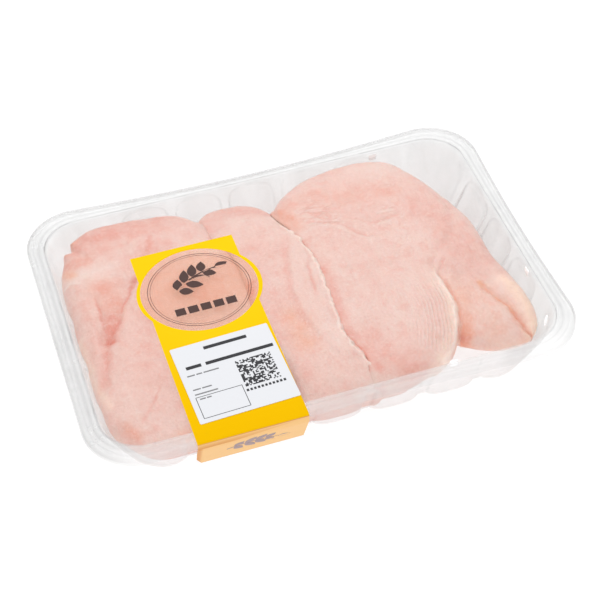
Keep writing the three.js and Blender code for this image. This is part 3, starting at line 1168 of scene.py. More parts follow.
class PACK_OT_panel(bpy.types.Operator):
    """Make the white panel and its plain printed bars"""

    bl_idname = "pack.panel"
    bl_label = "White panel"

    def execute(self, context):
        sizes = context.scene.panel_sizes
        half = sizes.size / 2 - sizes.corner
        corners = [
            ellipse(
                (x * half, y * half), sizes.corner, sizes.corner, steps=5,
                start=quarter * math.pi / 2, sweep=math.pi / 2, closed=False,
            )
            for quarter, (x, y) in enumerate([(1, 1), (-1, 1), (-1, -1), (1, -1)])
        ]
        base = PANEL_Z + PANEL_RISE
        panel = cut_sheet("white_sheet", [np.concatenate(corners)], sizes.thickness, base)
        panel.data.materials.append(paper("white_paper", sizes.paper))
        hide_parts("white_panel")

        shapes = {
            "panel_titles": [
                bar(*mm([2, 21.3]), 23 * MM, TITLE_HEIGHT),
                *broken_line(*mm([-22, 10.9]), mm([8, 36]), TITLE_HEIGHT, gap=2.4 * MM),
            ],
            "panel_small_lines": [
                *broken_line(*mm([-23, 5.6]), mm([4, 3, 8]), LINE_HEIGHT, gap=0.8 * MM),
                *broken_line(*mm([-23, -4]), mm([4, 5]), LINE_HEIGHT, gap=0.8 * MM),
                bar(*mm([-17, -7.3]), 12 * MM, LINE_HEIGHT),
                *broken_line(*mm([-21.5, -10.8]), mm([3, 2.4]), LINE_HEIGHT, gap=0.6 * MM),
            ],
            "panel_marks": broken_line(*mm([2, -13.6]), mm([1.2] * 11), MARK_HEIGHT, gap=0.75 * MM),
            "panel_box": frame_outline(*mm([-11.2, -16.3, 24.4, 14.4]), BOX_LINE),
            "panel_squares": block_of_squares(
                SQUARES_CENTRE, sizes.cell, across=24, up=23, seed=sizes.seed
            ),
        }
        dark, grey = ink("dark_ink", sizes.ink), ink("grey_ink", sizes.grey_ink)
        pieces = [panel]
        for name, outlines in shapes.items():
            printed = cut_sheet(name, outlines, PANEL_PRINT, base + sizes.thickness)
            printed.data.materials.append(grey if name == "panel_small_lines" else dark)
            pieces.append(printed)
        for piece in pieces:
            piece.rotation_euler.z = sizes.turn
            piece.location = (*PANEL_CENTRE, 0)
            settle(piece)
            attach(piece, "root")
        return {"FINISHED"}


# Meat

MEAT_FLOOR = 1.15 * MM
MEAT_CEILING = 37.3 * MM
MEAT_GAP = 1.15 * MM
OVERLAP = 0.6 * MM
PRESS_REACH = 5 * MM

# How far meat fills the flutes beside it, and the heights between which it starts to
FLUTE_FILL = 0.75
FLUTE_FILL_FROM = mm([2, 6])

# Meat fills only the flutes that lie past these lines, in front and on the left
FRONT_WALL_Y = -60 * MM
LEFT_WALL_X = -95 * MM

# How far meat stays from the wall above the base's rounded edge, at three heights
BASE_EDGE_HEIGHTS = mm([1.15, 2.1, 4.35])
BASE_EDGE_INSETS = mm([3.2, 0.96, 0])

# Where two fillets meet: how far the edge drops, how wide it shows, and at which heights it drops
MEETING_DROP = 1.5 * MM
MEETING_WIDTH = 2.8 * MM
MEETING_FROM = mm([18, 28])

# How far a lump's foot is drawn in, as a share of its outline, and from which height down it is
# drawn further in where it is undercut
FOOT_INSET = 0.2
UNDERCUT_BELOW = 11 * MM

# Points along a lump's section, below it, up its side and over its top, and the half width by
# which its rows are spaced
UNDER_STEPS = 30
SIDE_STEPS = 40
TOP_STEPS = 120
SECTION_HALF_WIDTH = 50 * MM

# Points between two points of a lump's outline, and points of the line that neighbours press on
OUTLINE_STEPS = 24
LIMIT_COLUMNS = 240


class Lobe:
    """A rounded lump of meat: a closed outline, domed from its edge height up to its crown.

    A smaller bulge gives a flatter top with a squarer edge. Pressed, sink and undercut are numbers
    by place. Where the lump is pressed against a neighbour, its side stands upright to a greater
    height. Sink lowers its top, and undercut draws its foot in.
    """

    def __init__(self, outline, middle, edge, crown, bulge=0.286, pressed_edge=None, pressed=None,
                 sink=None, undercut=None):
        def nowhere(x, y):
            return 0 * x

        self.outline = mm(outline)
        self.middle = mm(middle)
        self.edge = edge * MM
        self.crown = crown * MM
        self.bulge = bulge
        self.pressed_edge = (pressed_edge or edge) * MM
        self.pressed = pressed or nowhere
        self.sink = sink or nowhere
        self.undercut = undercut or nowhere

    def rim(self, columns):
        """Evenly spaced points of a smooth closed line through the outline's points."""
        last, here, after, later = (
            np.roll(self.outline, shift, axis=0) for shift in (1, 0, -1, -2)
        )

        def pace(start, end):
            return np.sqrt(np.linalg.norm(end - start, axis=1))[:, None]

        a, b, c = pace(last, here), pace(here, after), pace(after, later)
        leave = b * ((here - last) / a - (after - last) / (a + b) + (after - here) / b)
        arrive = b * ((after - here) / b - (later - here) / (b + c) + (later - after) / c)
        t = np.linspace(0, 1, OUTLINE_STEPS, endpoint=False)[:, None, None]
        line = (
            here + leave * t + (3 * (after - here) - 2 * leave - arrive) * t**2
            + (2 * (here - after) + leave + arrive) * t**3
        )
        line = line.transpose(1, 0, 2).reshape(-1, 2)
        line = np.concatenate([line, line[:1]])
        run = np.concatenate([[0], np.cumsum(np.linalg.norm(np.diff(line, axis=0), axis=1))])
        even = np.linspace(0, run[-1], columns, endpoint=False)
        return np.stack([np.interp(even, run, line[:, axis]) for axis in (0, 1)], axis=1)

    def side_share(self, z, edge):
        """How wide the lump is at a height, as a share of its outline."""
        low = 1 - FOOT_INSET * np.clip(1 - z / edge, 0, 1) ** 4.5
        high = (1 - np.clip((z - edge) / (self.crown - edge), 0, 1) ** 2) ** (self.bulge / 2)
        return np.where(z < edge, low, high)

    def section(self, edge, count):
        """Share of the outline, height and whether it is on top, from underside to crown."""
        side = np.linspace(0, edge, SIDE_STEPS)
        angle = np.linspace(0, math.pi / 2, TOP_STEPS)
        share = np.concatenate([
            np.linspace(0, 1 - FOOT_INSET, UNDER_STEPS),
            self.side_share(side, edge),
            np.cos(angle) ** self.bulge,
        ])
        level = np.concatenate([
            np.zeros(UNDER_STEPS), side, edge + (self.crown - edge) * np.sin(angle)
        ])
        top = np.concatenate([np.zeros(UNDER_STEPS + SIDE_STEPS), np.ones(TOP_STEPS)])
        across = np.diff(share, prepend=0) * SECTION_HALF_WIDTH
        run = np.cumsum(np.hypot(across, np.diff(level, prepend=0)))
        even = np.linspace(0, run[-1], count)
        return [np.interp(even, run, values) for values in (share, level, top)]

    def rows(self, columns, count):
        """Rows of points from the middle of its underside to the middle of its top."""
        rim = self.rim(columns)
        under = self.undercut(*rim.T)
        press = self.pressed(*rim.T)
        free = self.section(self.edge, count)
        pressed = self.section(self.pressed_edge, count)
        rows = []
        for ends in zip(*free, *pressed):
            part, z, on_top = ((1 - press) * a + press * b for a, b in zip(ends[:3], ends[3:]))
            foot = 1 - share_between(UNDERCUT_BELOW, self.edge, z)
            foot = foot * (1 - on_top) * np.minimum(part / (1 - FOOT_INSET), 1)
            flat = self.middle + (rim - self.middle) * (part - under * foot)[:, None]
            drop = self.sink(*flat.T) * np.sqrt(np.clip(1 - part**16, 0, 1)) * on_top
            rows.append(np.column_stack([flat, z - drop]))
        return np.array(rows)

    def limit(self, points, side):
        """The x at which this lump ends, on its left (-1) or right (1), beside each point."""
        x, y, z = points.T
        edge = self.edge + (self.pressed_edge - self.edge) * self.pressed(x, y)
        sunk = self.sink(x, y)
        z = z + sunk * np.clip((z - edge) / np.maximum(self.crown - edge - sunk, MM), 0, 1)
        share = self.side_share(z, edge)
        rim = self.rim(LIMIT_COLUMNS)
        half = rim[(rim[:, 0] - np.interp(rim[:, 1], *self.spine())) * side > 0]
        half = half[np.argsort(half[:, 1])]
        y = (points[:, 1] - self.middle[1]) / np.maximum(share, 0.05) + self.middle[1]
        x = np.interp(y, half[:, 1], half[:, 0])
        reach = (y > half[0, 1]) & (y < half[-1, 1]) & (share > 0)
        return np.where(reach, self.middle[0] + (x - self.middle[0]) * share, -side * np.inf)

    def spine(self):
        """A line from the lump's front end to its back end."""
        rim = self.rim(LIMIT_COLUMNS)
        front, back = rim[np.argmin(rim[:, 1])], rim[np.argmax(rim[:, 1])]
        return (front[1], back[1]), (front[0], back[0])


def flute_room(points, sizes):
    """How far the flutes of the front and left walls stand out beside each point."""
    x, y, z = points.T
    front = (y < FRONT_WALL_Y) & (np.abs(x) < LONG_END)
    left = (x < LEFT_WALL_X) & (np.abs(y) < SHORT_END)
    along = np.where(front, x / LONG_PITCH + LONG_FLUTES / 2, y / SHORT_PITCH + SHORT_FLUTES / 2)
    return flute_depth((along % 1 * 2 - 1) / FLUTE_SHARE, z, sizes.flute) * (front | left)


def keep_in_tray(points, sizes):
    """Pushes points back into the room between the tray's walls, its base and the film."""
    points[:, 2] = np.clip(points[:, 2], MEAT_FLOOR, MEAT_CEILING)
    z = points[:, 2]
    share = np.clip(z / RIM_TOP, 0, 1)[:, None]
    low = np.array([sizes.base_x, sizes.base_y, sizes.base_radius])
    high = np.array([sizes.mouth_x, sizes.mouth_y, sizes.mouth_radius])
    shape = low + (high - low) * share
    radius = shape[:, 2]
    inset = MEAT_GAP + np.interp(z, BASE_EDGE_HEIGHTS, BASE_EDGE_INSETS)
    inset = inset - FLUTE_FILL * flute_room(points, sizes) * share_between(*FLUTE_FILL_FROM, z)
    past = np.abs(points[:, :2]) - (shape[:, :2] - radius[:, None])
    corner = np.clip(past, 0, None)
    reach = np.hypot(*corner.T)
    rounded = reach > 0
    out = np.where(
        rounded[:, None], corner / np.maximum(reach, 1e-9)[:, None],
        (past == past.max(axis=1, keepdims=True)).astype(float),
    )
    over = np.where(rounded, reach, past.max(axis=1)) - radius + inset
    points[:, :2] -= np.sign(points[:, :2]) * out * np.clip(over, 0, None)[:, None]
    return points


def press_beside(points, neighbour, side):
    """Presses points against a neighbouring lump, and says how near each one now is to it."""
    limit = neighbour.limit(points, side) - side * OVERLAP
    gap = np.where(np.isfinite(limit), (points[:, 0] - limit) * side, 1)
    pressed = np.clip(gap, 0, None) * share_between(0, PRESS_REACH, gap)
    points[:, 0] = np.where(gap < PRESS_REACH, limit + side * pressed, points[:, 0])
    return np.exp(-((np.where(gap < PRESS_REACH, pressed, gap) / MEETING_WIDTH) ** 2))


def lumpy(points, size, height, octaves):
    """Soft noise over a set of points, from about -height to height. Both are in millimetres."""
    return height * MM * np.array([
        noise.fractal(Vector(point) / (size * MM), 0.8, 2.0, octaves) for point in points
    ])


class Stroke:
    """A soft line on the meat, seen from above.

    It has a width, a shift to its left, a lift of the surface, shares of its length over which it
    fades in and out, and the tones that it paints. A one-sided stroke covers all on its left.
    """

    def __init__(self, line, width, lift=0.0, shift=0.0, fade=(0, 0), sided=False, **tones):
        self.line = mm(line)
        self.width = width * MM
        self.lift = lift * MM
        self.shift = shift * MM
        self.fade = fade
        self.sided = sided
        self.tones = tones

    def strength(self, points):
        distance, share = beside_line(points, self.line)
        away = distance - self.shift
        if self.sided:
            covered = share_between(-self.width, self.width, away)
        else:
            covered = np.exp(-((away / self.width) ** 2))
        start, end = self.fade
        if start:
            covered = covered * share_between(0, start, share)
        if end:
            covered = covered * share_between(0, end, 1 - share)
        return covered


# Where the left and the middle fillet lie level with each other
WINDOW_SEAM = [
    (-34, 52), (-29, 38), (-25.5, 24), (-24.5, 12), (-25.5, -4), (-27.5, -18), (-28.5, -34),
]

LEFT = Lobe(
    [
        (-92, 87), (-70, 86), (-52, 83), (-40, 76), (-31, 62), (-24, 40), (-21, 12), (-21, -25),
        (-25, -62), (-36, -80), (-70, -86), (-103, -82), (-116, -66), (-118.5, -30), (-119, 10),
        (-118, 46), (-112.5, 64), (-111, 69.5), (-106.5, 71), (-106, 77), (-100, 81.5),
    ],
    middle=(-74, -2), edge=25, crown=35.2,
)

LEFT_STEM = [(-103, -5), (-107, -19), (-111, -34), (-115, -43)]

LEFT_STROKES = [
    # Painted shade: the deep tone darkens the V-shaped crease, its apex and its stem, where shade
    # falls
    Stroke([(-104, 34), (-103, 20), (-104, 1), (-103, -7)], 6.0, -0.9, fade=(0.3, 0), deep=0.15),
    Stroke([(-79, 34), (-87, 19), (-96, 6), (-103, -7)], 5.0, -1.1, fade=(0.1, 0), deep=0.3),
    Stroke([(-90, 30), (-97, 8), (-102, -5)], 6.0, -0.3, fade=(0.7, 0), deep=0.75),
    Stroke([(-103.5, 32), (-102.5, 14), (-103.5, 1), (-103, -7)], 1.1, -0.7, fade=(0.35, 0),
           deep=0.75),
    Stroke([(-80, 32), (-82, 27), (-87, 19), (-91, 13), (-99, 0), (-103, -7)], 1.2, -0.7,
           fade=(0.05, 0), deep=0.85),
    Stroke([(-80, 32), (-87, 19), (-99, 0), (-103, -7)], 1.6, 0.5, shift=2.6, fade=(0.1, 0.2),
           pale=0.35),
    Stroke([(-79.5, 33), (-83, 26)], 2.0, -0.3, deep=0.8),
    Stroke([(-96, 12), (-100, 2), (-103, -11)], 4.2, -0.3, fade=(0.5, 0.1), deep=1.0),
    Stroke(LEFT_STEM, 3.6, -0.9, fade=(0, 0.4), deep=0.5),
    Stroke(LEFT_STEM, 1.2, -0.35, fade=(0, 0.5), deep=0.7),
    Stroke([(-109, 20), (-109, 2), (-111, -14)], 3.0, 0.4, deep=0.2),
    Stroke([(-116, 39), (-107, 43), (-94, 44), (-83, 47), (-78, 52)], 3.6, 0.4, fade=(0.1, 0.3),
           pale=0.8),
    Stroke([(-118, 40), (-113, 39.5), (-108, 38)], 0.8, 0.4, pale=1.0),
    Stroke([(-113, 58), (-105, 55), (-94, 53)], 5.5, -0.4, fade=(0, 0.4), deep=0.5, warm=0.25),
    Stroke([(-100, 62), (-88, 60)], 6.0, deep=0.35),
    Stroke([(-113, 52), (-111, 46)], 3.0, warm=0.6),
    Stroke([(-110, 68), (-104, 76)], 3.0, 0.3, warm=0.5, deep=0.3),
    Stroke([(-106.5, 75.5), (-106, 74.5)], 1.6, 1.0, warm=0.6),
    Stroke([(-111, 68.5), (-110.5, 67.5)], 1.6, 1.0, warm=0.6),
    Stroke([(-71, 46), (-66, 54), (-64, 61)], 3.2, -0.3, deep=0.5),
    Stroke([(-76, 52), (-74, 58)], 2.4, 0.3, pale=0.7),
    Stroke([(-84, -43), (-92, -56), (-96, -61), (-103, -70)], 0.9, -0.25, fade=(0.2, 0.5),
           deep=0.4),
    Stroke([(-98, -14), (-102, -34), (-104, -52)], 6.0, 0.3, pale=0.2),
    Stroke([(-117, 0), (-117, -24), (-113, -50)], 2.4, fat=0.4),
    Stroke([(-108, -66), (-104, -73)], 3.2, 0.2, warm=0.3, deep=0.35),
    Stroke([(-66, -78), (-92, -79)], 3.0, fade=(0.3, 0.3), warm=0.35),
    Stroke(WINDOW_SEAM, 2.4, 2.4, fade=(0.15, 0.1)),
    Stroke([(-64, 26), (-50, 12), (-44, -4)], 9.0, fade=(0.2, 0.2), deep=0.35, warm=0.2),
    Stroke([(-60, 66), (-84, 20), (-86, -30)], 20.0, deep=0.22),
    Stroke([(-104, 70), (-60, 72)], 13.0, deep=0.5),
    Stroke([(-97, 29), (-94, 14)], 7.5, deep=0.45, warm=0.3),
    Stroke([(-46, 79), (-34, 70), (-28, 58)], 3.0, pale=0.5),
]

MEMBRANE_EDGE = [
    (3, 62), (8, 50), (11, 36), (15, 24), (16.5, 12), (16, -3), (15.5, -14), (14.5, -28), (13, -44),
    (15.5, -56), (19.5, -67), (22, -78),
]

MIDDLE = Lobe(
    [
        (-32, 74), (-18, 79), (-2, 75), (8.5, 60), (13, 44), (16, 30), (18.5, 14), (17.5, -6),
        (16.5, -26), (15.5, -44), (17.5, -56), (21.5, -67), (22, -78), (-2, -85), (-20, -80),
        (-26, -52), (-28, -18), (-25, 12), (-27, 36), (-36, 60),
    ],
    middle=(-6, -6), edge=25, crown=36.6, pressed_edge=31,
    pressed=lambda x, y: 1 - share_between(40 * MM, 66 * MM, np.abs(y + 6 * MM)),
    sink=lambda x, y: 6 * MM * share_between(30 * MM, 78 * MM, y),
)

MIDDLE_STROKES = [
    Stroke([(-14, 50), (-14, 10), (-16, -30), (-12, -64)], 12.0, deep=0.14),
    Stroke([(9, 52), (9, 38), (1, 10), (-3, -9), (-2, -28), (1, -45), (8, -66)], 1.4, 0.6,
           sided=True, fade=(0.12, 0.1), pale=0.22),
    Stroke([(7, 40), (-1, 10), (-5, -9), (-4, -28), (-1, -45)], 2.6, -0.2, fade=(0.2, 0.2),
           deep=0.25),
    Stroke(MEMBRANE_EDGE, 1.0, 0.7, shift=-0.8, fade=(0.15, 0.05), lip=0.6),
    Stroke([(12, 16), (9.5, 0), (7, -18)], 0.9, -0.5, fade=(0.2, 0.3), deep=0.45),
    Stroke([(13.5, 26), (13, 8)], 0.7, -0.4, fade=(0.3, 0.3), deep=0.3),
    Stroke([(-9, -24), (-8, -44)], 6.5, -0.6, warm=0.5),
    Stroke([(-34, 60), (-18, 72), (0, 66)], 8.0, deep=0.4),
    Stroke(WINDOW_SEAM, 2.2, 1.4, fade=(0.15, 0.1)),
    # Painted shade: the deep tone darkens the seam between the left and the middle fillet
    Stroke([(-21, 12), (-23.5, 2), (-25, -8), (-27, -16)], 3.0, fade=(0.2, 0.2), deep=1.0),
]

FLAP_EDGE = [
    (79, -10), (75.5, -17), (75.5, -26), (76.7, -34), (76.5, -42), (74.3, -51), (71, -60),
    (66, -67), (60, -75), (53, -81),
]

RIGHT_FLAP = Lobe(
    [
        (2, 44), (6, 60), (12.5, 70), (22, 77), (32, 82), (56, 88), (80, 82), (91, 68), (100, 46),
        (104, 24), (98, 8), (86, -4), (78, -14), (76.5, -26), (77, -40), (74.5, -52), (69, -62),
        (62, -71), (52, -78), (22, -82), (4, -75), (0, -30),
    ],
    middle=(46, 2), edge=25, crown=35.8, bulge=0.19,
    undercut=lambda x, y: (
        share_between(30 * MM, 60 * MM, -y) * (0.1 + 0.2 * share_between(34 * MM, 60 * MM, x))
    ),
)

RIGHT_SIDE = Lobe(
    [
        (66, 50), (80, 70), (91, 68), (102, 46), (109.5, 23), (111, -8), (115, -26), (118, -44),
        (117, -58), (107, -69.5), (92, -71), (78, -65.5), (66, -54), (60, -30), (58, 10),
    ],
    middle=(88, -6), edge=22, crown=35,
    sink=lambda x, y: (
        3.2 * MM * share_between(-2 * MM, 34 * MM, -y)
        + 1.6 * MM * share_between(75 * MM, 112 * MM, x)
    ),
    undercut=lambda x, y: share_between(30 * MM, 60 * MM, -y) * 0.2,
)

GROOVE = [(94, -28), (97, -35), (99, -42), (103, -49), (104.5, -57), (106, -65), (109, -71)]
FOLD_LINE = [(14, 43), (27, 39), (37, 34), (41, 30), (44, 25), (49, 21), (62, 17)]

RIGHT_STROKES = [
    Stroke(GROOVE, 3.0, -1.0, fade=(0.2, 0), warm=0.4),
    Stroke(GROOVE, 1.0, -0.7, fade=(0.1, 0), warm=0.9, deep=0.25),
    Stroke([(103, -49), (106, -65), (109, -71)], 0.9, -0.4, fade=(0.3, 0), deep=0.6),
    Stroke([(94, -29), (95.5, -32)], 1.8, -0.4, warm=1.0),
    Stroke([(104, -22), (110, -36), (113, -50), (112, -62), (109, -70)], 4.8, 1.2, fade=(0.3, 0),
           fat=0.85, warm=0.2),
    Stroke([(68, -67), (80, -73), (98, -74), (110, -70)], 4.0, warm=0.35, fat=0.4),
    Stroke([(84, -18), (90, -44), (90, -64)], 10.0, fade=(0.3, 0), warm=0.2),
    # Painted light: fat, membrane and lip tones brighten the flap's shaded slope and edge
    Stroke(FLAP_EDGE, 3.0, 0.2, shift=-4.2, fade=(0.3, 0), fat=0.5, pale=0.4),
    Stroke(FLAP_EDGE, 1.3, 1.1, shift=-2.0, fade=(0.2, 0), lip=1.0),
    # Painted shadow: deep and warm tones under the flap's edge, where it shades the side lump
    Stroke(FLAP_EDGE, 1.0, -0.7, shift=0.7, fade=(0.25, 0), warm=0.7, deep=0.35),
    Stroke(FLAP_EDGE, 4.5, shift=3.8, fade=(0.5, 0), warm=0.45),
    # Painted shade in the pit at the foot of the flap's edge
    Stroke([(77, -40), (76, -50), (71, -60), (66, -68)], 4.2, -0.2, shift=2.4, fade=(0.6, 0),
           deep=0.5, warm=1.0),
    Stroke([(71, -58), (78, -63)], 1.6, -0.2, fade=(0, 0.4), deep=0.8, warm=0.7),
    Stroke([(75.5, -17), (79, -12), (84, -8)], 1.2, -0.4, fade=(0.3, 0.4), deep=0.4),
    Stroke([(8, 58), (12, 50), (13, 41)], 5.0, deep=0.4, warm=0.5),
    # Painted shadow: the deep tone along the middle fillet's edge, which shades this fillet
    Stroke([(17, 12), (17, -6), (15.5, -26), (14.5, -42), (18, -56), (23, -70)], 4.0,
           fade=(0.1, 0), deep=0.55),
    Stroke([(22, -50), (30, -68), (42, -78)], 8.0, deep=0.38),
    Stroke([(18, 74), (50, 86), (82, 80), (102, 46)], 3.0, deep=0.12),
    Stroke([(60, 73), (80, 70)], 8.0, 0.4, pale=0.4),
    Stroke([(84, 36), (92, 12), (98, -12)], 12.0, deep=0.28),
    Stroke([(14, 60), (30, 58), (50, 54), (70, 50)], 8.0, -0.3, deep=0.2, warm=0.12),
    Stroke(FOLD_LINE, 1.0, -0.4, fade=(0.2, 0.3), deep=0.3),
    Stroke(FOLD_LINE, 2.0, 0.3, shift=-2.6, fade=(0.2, 0.3), pale=0.4),
    Stroke([(27, 56), (35, 47), (41, 46), (48, 50), (58, 46), (68, 46)], 1.0, -0.3,
           fade=(0.2, 0.2), deep=0.25),
    Stroke([(37, 41), (47, 35), (54, 29), (60, 29), (67, 30), (77, 32)], 1.0, -0.3,
           fade=(0.2, 0.2), deep=0.25),
    Stroke([(48, 58), (59, 56), (68, 53), (73, 55), (84, 58)], 0.9, -0.25, fade=(0.2, 0.2),
           deep=0.2),
    Stroke([(16, 46), (24, 52), (32, 50), (38, 44)], 1.0, -0.3, fade=(0.2, 0.2), deep=0.25),
    Stroke([(58, 36), (70, 34)], 1.5, 0.3, fade=(0.3, 0.3), pale=0.7),
    Stroke([(56, 27), (66, 26)], 1.2, 0.3, fade=(0.3, 0.3), pale=0.5),
    Stroke([(14, 50), (44, 44), (88, 44)], 16.0, fade=(0.2, 0.3), crumple=1.0),
]

# The stripes on the right fillet: the line that they follow, the width of one, the shares of the
# line over which they fade in and out, and where they end on its right and on its left
STRIPE_LINE = [(72, 0), (76, -20), (76.5, -40), (72, -60), (64, -80)]
STRIPE_PITCH = 2.0 * MM
STRIPE_FADE_IN = (0.1, 0.55)
STRIPE_FADE_OUT = (0.02, 0.2)
STRIPE_RIGHT = mm([-36, -8])
STRIPE_LEFT = mm([3, 7])

# Heights between which the worked upper side of a fillet starts, and those over which its lower
# part gets redder
TOP_FROM = mm([14, 24])
REDDER_BELOW = mm([2, 22])
LOW_RED = 0.3

# Soft noise, as size, height and octaves: the waver of the strokes, and what swells the surface
WAVER = (7, 0.9, 3)
SWELLS = ((26, 0.8, 3), (6, 0.25, 2))

# How strongly painted shadow reddens the seam on the right and the left of the middle fillet, where
# one fillet shades the other, and how patchy it is. It gets paler by a share towards the back, and
# the left one by another towards the front
SEAM_SHADOW = {1: 0.85, -1: 0.5}
SEAM_PATCHES = (9, 0.5, 3)
SEAM_PALER_BACK = 0.6
SEAM_BACK = mm([28, 48])
SEAM_PALER_FRONT = 0.9
SEAM_FRONT = mm([-40, 12])

# How the middle fillet's thin edge wanders, how near to its line, and above which height
MEMBRANE_WANDER = (4, 1.2, 3)
MEMBRANE_WIDTH = 2.5 * MM
MEMBRANE_FROM = mm([29, 32])


class PACK_OT_fillets(bpy.types.Operator):
    """Make the three fillets"""

    bl_idname = "pack.fillets"
    bl_label = "Fillets"

    def execute(self, context):
        self.make("left", [LEFT], LEFT_STROKES, side=-1, grain_turn=0.35)
        self.make("middle", [MIDDLE], MIDDLE_STROKES, side=0, grain_turn=0.1)
        self.make("right", [RIGHT_FLAP, RIGHT_SIDE], RIGHT_STROKES, side=1, grain_turn=-0.15)
        return {"FINISHED"}

    def make(self, name, lobes, strokes, side, grain_turn):
        """One fillet: its lumps joined, pressed against its neighbour, and worked over.

        Side is -1 or 1 for a fillet on the left or right of the middle one, whose side is 0.
        """
        scene = bpy.context.scene
        colours, sizes = scene.meat_colours, scene.tray_sizes
        lumps = []
        for number, lobe in enumerate(lobes):
            lump = loft(f"{name}_lump_{number}", lobe.rows(colours.columns, colours.rows))
            points = keep_in_tray(points_of(lump), sizes)
            if side:
                near = press_beside(points, MIDDLE, side)
                points[:, 2] -= MEETING_DROP * near * share_between(*MEETING_FROM, points[:, 2])
            place_points(lump, points)
            lumps.append(lump)
        fillet = pick(lumps[0])
        for lump in lumps[1:]:
            lump.select_set(True)
        if len(lumps) > 1:
            bpy.ops.object.join()
        fillet.name = fillet.data.name = f"meat_{name}"
        modify(fillet, "REMESH", mode="VOXEL", voxel_size=colours.grain)
        modify(fillet, "SMOOTH", factor=0.5, iterations=3)

        points = points_of(fillet)
        high = share_between(*TOP_FROM, points[:, 2])
        waver = np.stack([lumpy(points, *WAVER), lumpy(points + 1, *WAVER), 0 * high], axis=1)
        # Painted tones: deep also carries painted shade; lip a painted highlight on the flap's
        # edge; pale and fat also painted light there
        tones = {tone: 0 * high for tone in ("deep", "pale", "fat", "warm", "lip", "crumple")}
        for stroke in strokes:
            strength = stroke.strength(points + waver) * high
            points[:, 2] += stroke.lift * strength
            for tone, most in stroke.tones.items():
                tones[tone] = np.maximum(tones[tone], most * strength)
        points[:, 2] += sum(lumpy(points, *swell) for swell in SWELLS) * high
        if side:
            near = press_beside(points, MIDDLE, side)
            # Painted shadow: the seam beside the middle fillet gets the deep tone, patchy and paler
            # towards the back
            seam_shadow = SEAM_SHADOW[side] + lumpy(points, *SEAM_PATCHES) / MM
            seam_shadow = seam_shadow * (1 - SEAM_PALER_BACK * share_between(*SEAM_BACK, points[:, 1]))
            if side < 0:
                seam_shadow = seam_shadow * (1 - SEAM_PALER_FRONT * share_between(*SEAM_FRONT, -points[:, 1]))
            tones["deep"] = np.maximum(tones["deep"], near * high * seam_shadow)
        else:
            beside, _ = beside_line(points, mm(MEMBRANE_EDGE))
            near = np.exp(-((beside / MEMBRANE_WIDTH) ** 2))
            lip = near * share_between(*MEMBRANE_FROM, points[:, 2])
            points[:, 0] += lumpy(points, *MEMBRANE_WANDER) * lip
        low = 1 - share_between(*REDDER_BELOW, points[:, 2])
        tones["deep"] = np.maximum(tones["deep"], LOW_RED * low)
        place_points(fillet, keep_in_tray(points, sizes))
        for tone, values in tones.items():
            paint(fillet, tone, values)
        inside, share = beside_line(points, mm(STRIPE_LINE))
        paint(fillet, "stripe_place", inside / STRIPE_PITCH)
        lower = share_between(*STRIPE_FADE_IN, share) * share_between(*STRIPE_FADE_OUT, 1 - share)
        within = share_between(*STRIPE_RIGHT, inside) * share_between(*STRIPE_LEFT, -inside)
        paint(fillet, "stripe", lower * within * high * (side > 0))
        pick(fillet)
        bpy.ops.object.shade_smooth()
        fillet.data.materials.append(raw_meat(f"raw_meat_{name}", colours, grain_turn))
        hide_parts(f"fillet_{name}")
        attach(fillet, "root")


# Stage

AIM = mm([-1.8, -15.85, 37.6])
FLOOR_SIZE = 8
FLOOR_CELLS = 160
FLOOR_Z = -0.05 * MM

# Each lamp's place and the length of its sides
KEY_LAMP = ((0.2, 0.75, 0.95), 0.9)
FILL_LAMP = ((-0.75, -0.95, 0.8), 1.0)


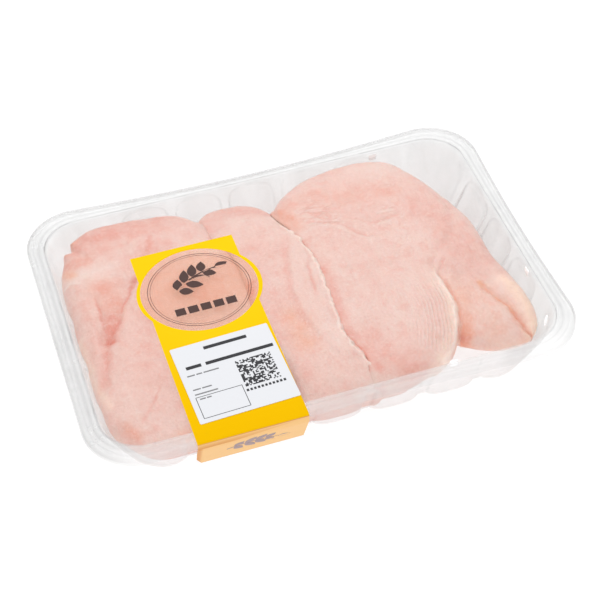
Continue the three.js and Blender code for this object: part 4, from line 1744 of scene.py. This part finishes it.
class PACK_OT_stage(bpy.types.Operator):
    """Make the camera, the pale floor and the soft light"""

    bl_idname = "pack.stage"
    bl_label = "Studio"

    def execute(self, context):
        settings = context.scene.stage_settings
        self.add_camera(settings)
        self.add_floor(settings)
        self.add_room(settings)
        self.add_lamp("key_light", *KEY_LAMP, settings.key)
        self.add_lamp("fill_light", *FILL_LAMP, settings.fill)
        context.scene.view_settings.view_transform = "Standard"
        context.scene.cycles.transparent_max_bounces = 32
        return {"FINISHED"}

    def add_camera(self, settings):
        pitch, yaw, roll = settings.pitch, settings.yaw, settings.roll
        ahead = Vector((
            math.cos(pitch) * math.sin(yaw), math.cos(pitch) * math.cos(yaw), -math.sin(pitch)
        ))
        across = ahead.cross(Vector((0, 0, 1))).normalized()
        above = across.cross(ahead)
        right = across * math.cos(roll) + above * math.sin(roll)
        up = above * math.cos(roll) - across * math.sin(roll)
        facing = Matrix((right, up, -ahead)).transposed()
        bpy.ops.object.camera_add(
            location=Vector(AIM) - ahead * settings.distance, rotation=facing.to_euler()
        )
        camera = named("camera")
        camera.data.lens = settings.lens
        camera.data.clip_start = 0.01
        bpy.context.scene.camera = camera

    def add_floor(self, settings):
        """A pale floor, lit from below as on a light table."""
        bpy.ops.object.select_all(action="DESELECT")
        bpy.ops.mesh.primitive_grid_add(
            x_subdivisions=FLOOR_CELLS, y_subdivisions=FLOOR_CELLS,
            size=FLOOR_SIZE, location=(0, 0, FLOOR_Z),
        )
        floor = named("floor")
        finish = Finish("white_floor")
        cloud = finish.noise(3, detail=2)
        finish.surface(
            Base_Color=finish.mix(cloud * 0.3, (0.22, 0.22, 0.22), (0.2, 0.2, 0.2)),
            Roughness=0.8,
            Emission_Color=(1, 1, 1),
            Emission_Strength=settings.glow,
        )
        floor.data.materials.append(finish.material)

    def add_room(self, settings):
        """An even white room."""
        world = bpy.data.worlds.new("studio")
        bpy.context.scene.world = world
        world.use_nodes = True
        background = world.node_tree.nodes["Background"]
        background.inputs["Color"].default_value = (1, 1, 1, 1)
        background.inputs["Strength"].default_value = settings.sky

    def add_lamp(self, name, place, size, power):
        ahead = Vector(AIM) - Vector(place)
        bpy.ops.object.light_add(
            type="AREA", location=place, rotation=ahead.to_track_quat("-Z", "Y").to_euler()
        )
        lamp = named(name)
        lamp.data.size = size
        lamp.data.energy = power


class VIEW3D_PT_pack(bpy.types.Panel):
    """Lists what the pack is made of"""

    bl_label = "Chicken Pack"
    bl_space_type = "VIEW_3D"
    bl_region_type = "UI"
    bl_category = "Chicken Pack"

    def draw(self, context):
        for operator in STEPS:
            self.layout.operator(operator.bl_idname)
        for group in GROUPS:
            settings = getattr(context.scene, group)
            box = self.layout.box()
            for name in settings.__annotations__:
                box.prop(settings, name)


STEPS = (
    PACK_OT_tray, PACK_OT_film, PACK_OT_label, PACK_OT_panel, PACK_OT_fillets, PACK_OT_stage
)


def register():
    for kind in (*GROUPS.values(), *STEPS, VIEW3D_PT_pack):
        bpy.utils.register_class(kind)
    for name, group in GROUPS.items():
        setattr(bpy.types.Scene, name, bpy.props.PointerProperty(type=group))


def unregister():
    for name in GROUPS:
        delattr(bpy.types.Scene, name)
    for kind in reversed((*GROUPS.values(), *STEPS, VIEW3D_PT_pack)):
        bpy.utils.unregister_class(kind)


def main():
    """Makes every piece and the stage."""
    register()
    bpy.ops.pack.tray()
    bpy.ops.pack.film()
    bpy.ops.pack.label()
    bpy.ops.pack.panel()
    bpy.ops.pack.fillets()
    bpy.ops.pack.stage()


if __name__ == "__main__":
    main()
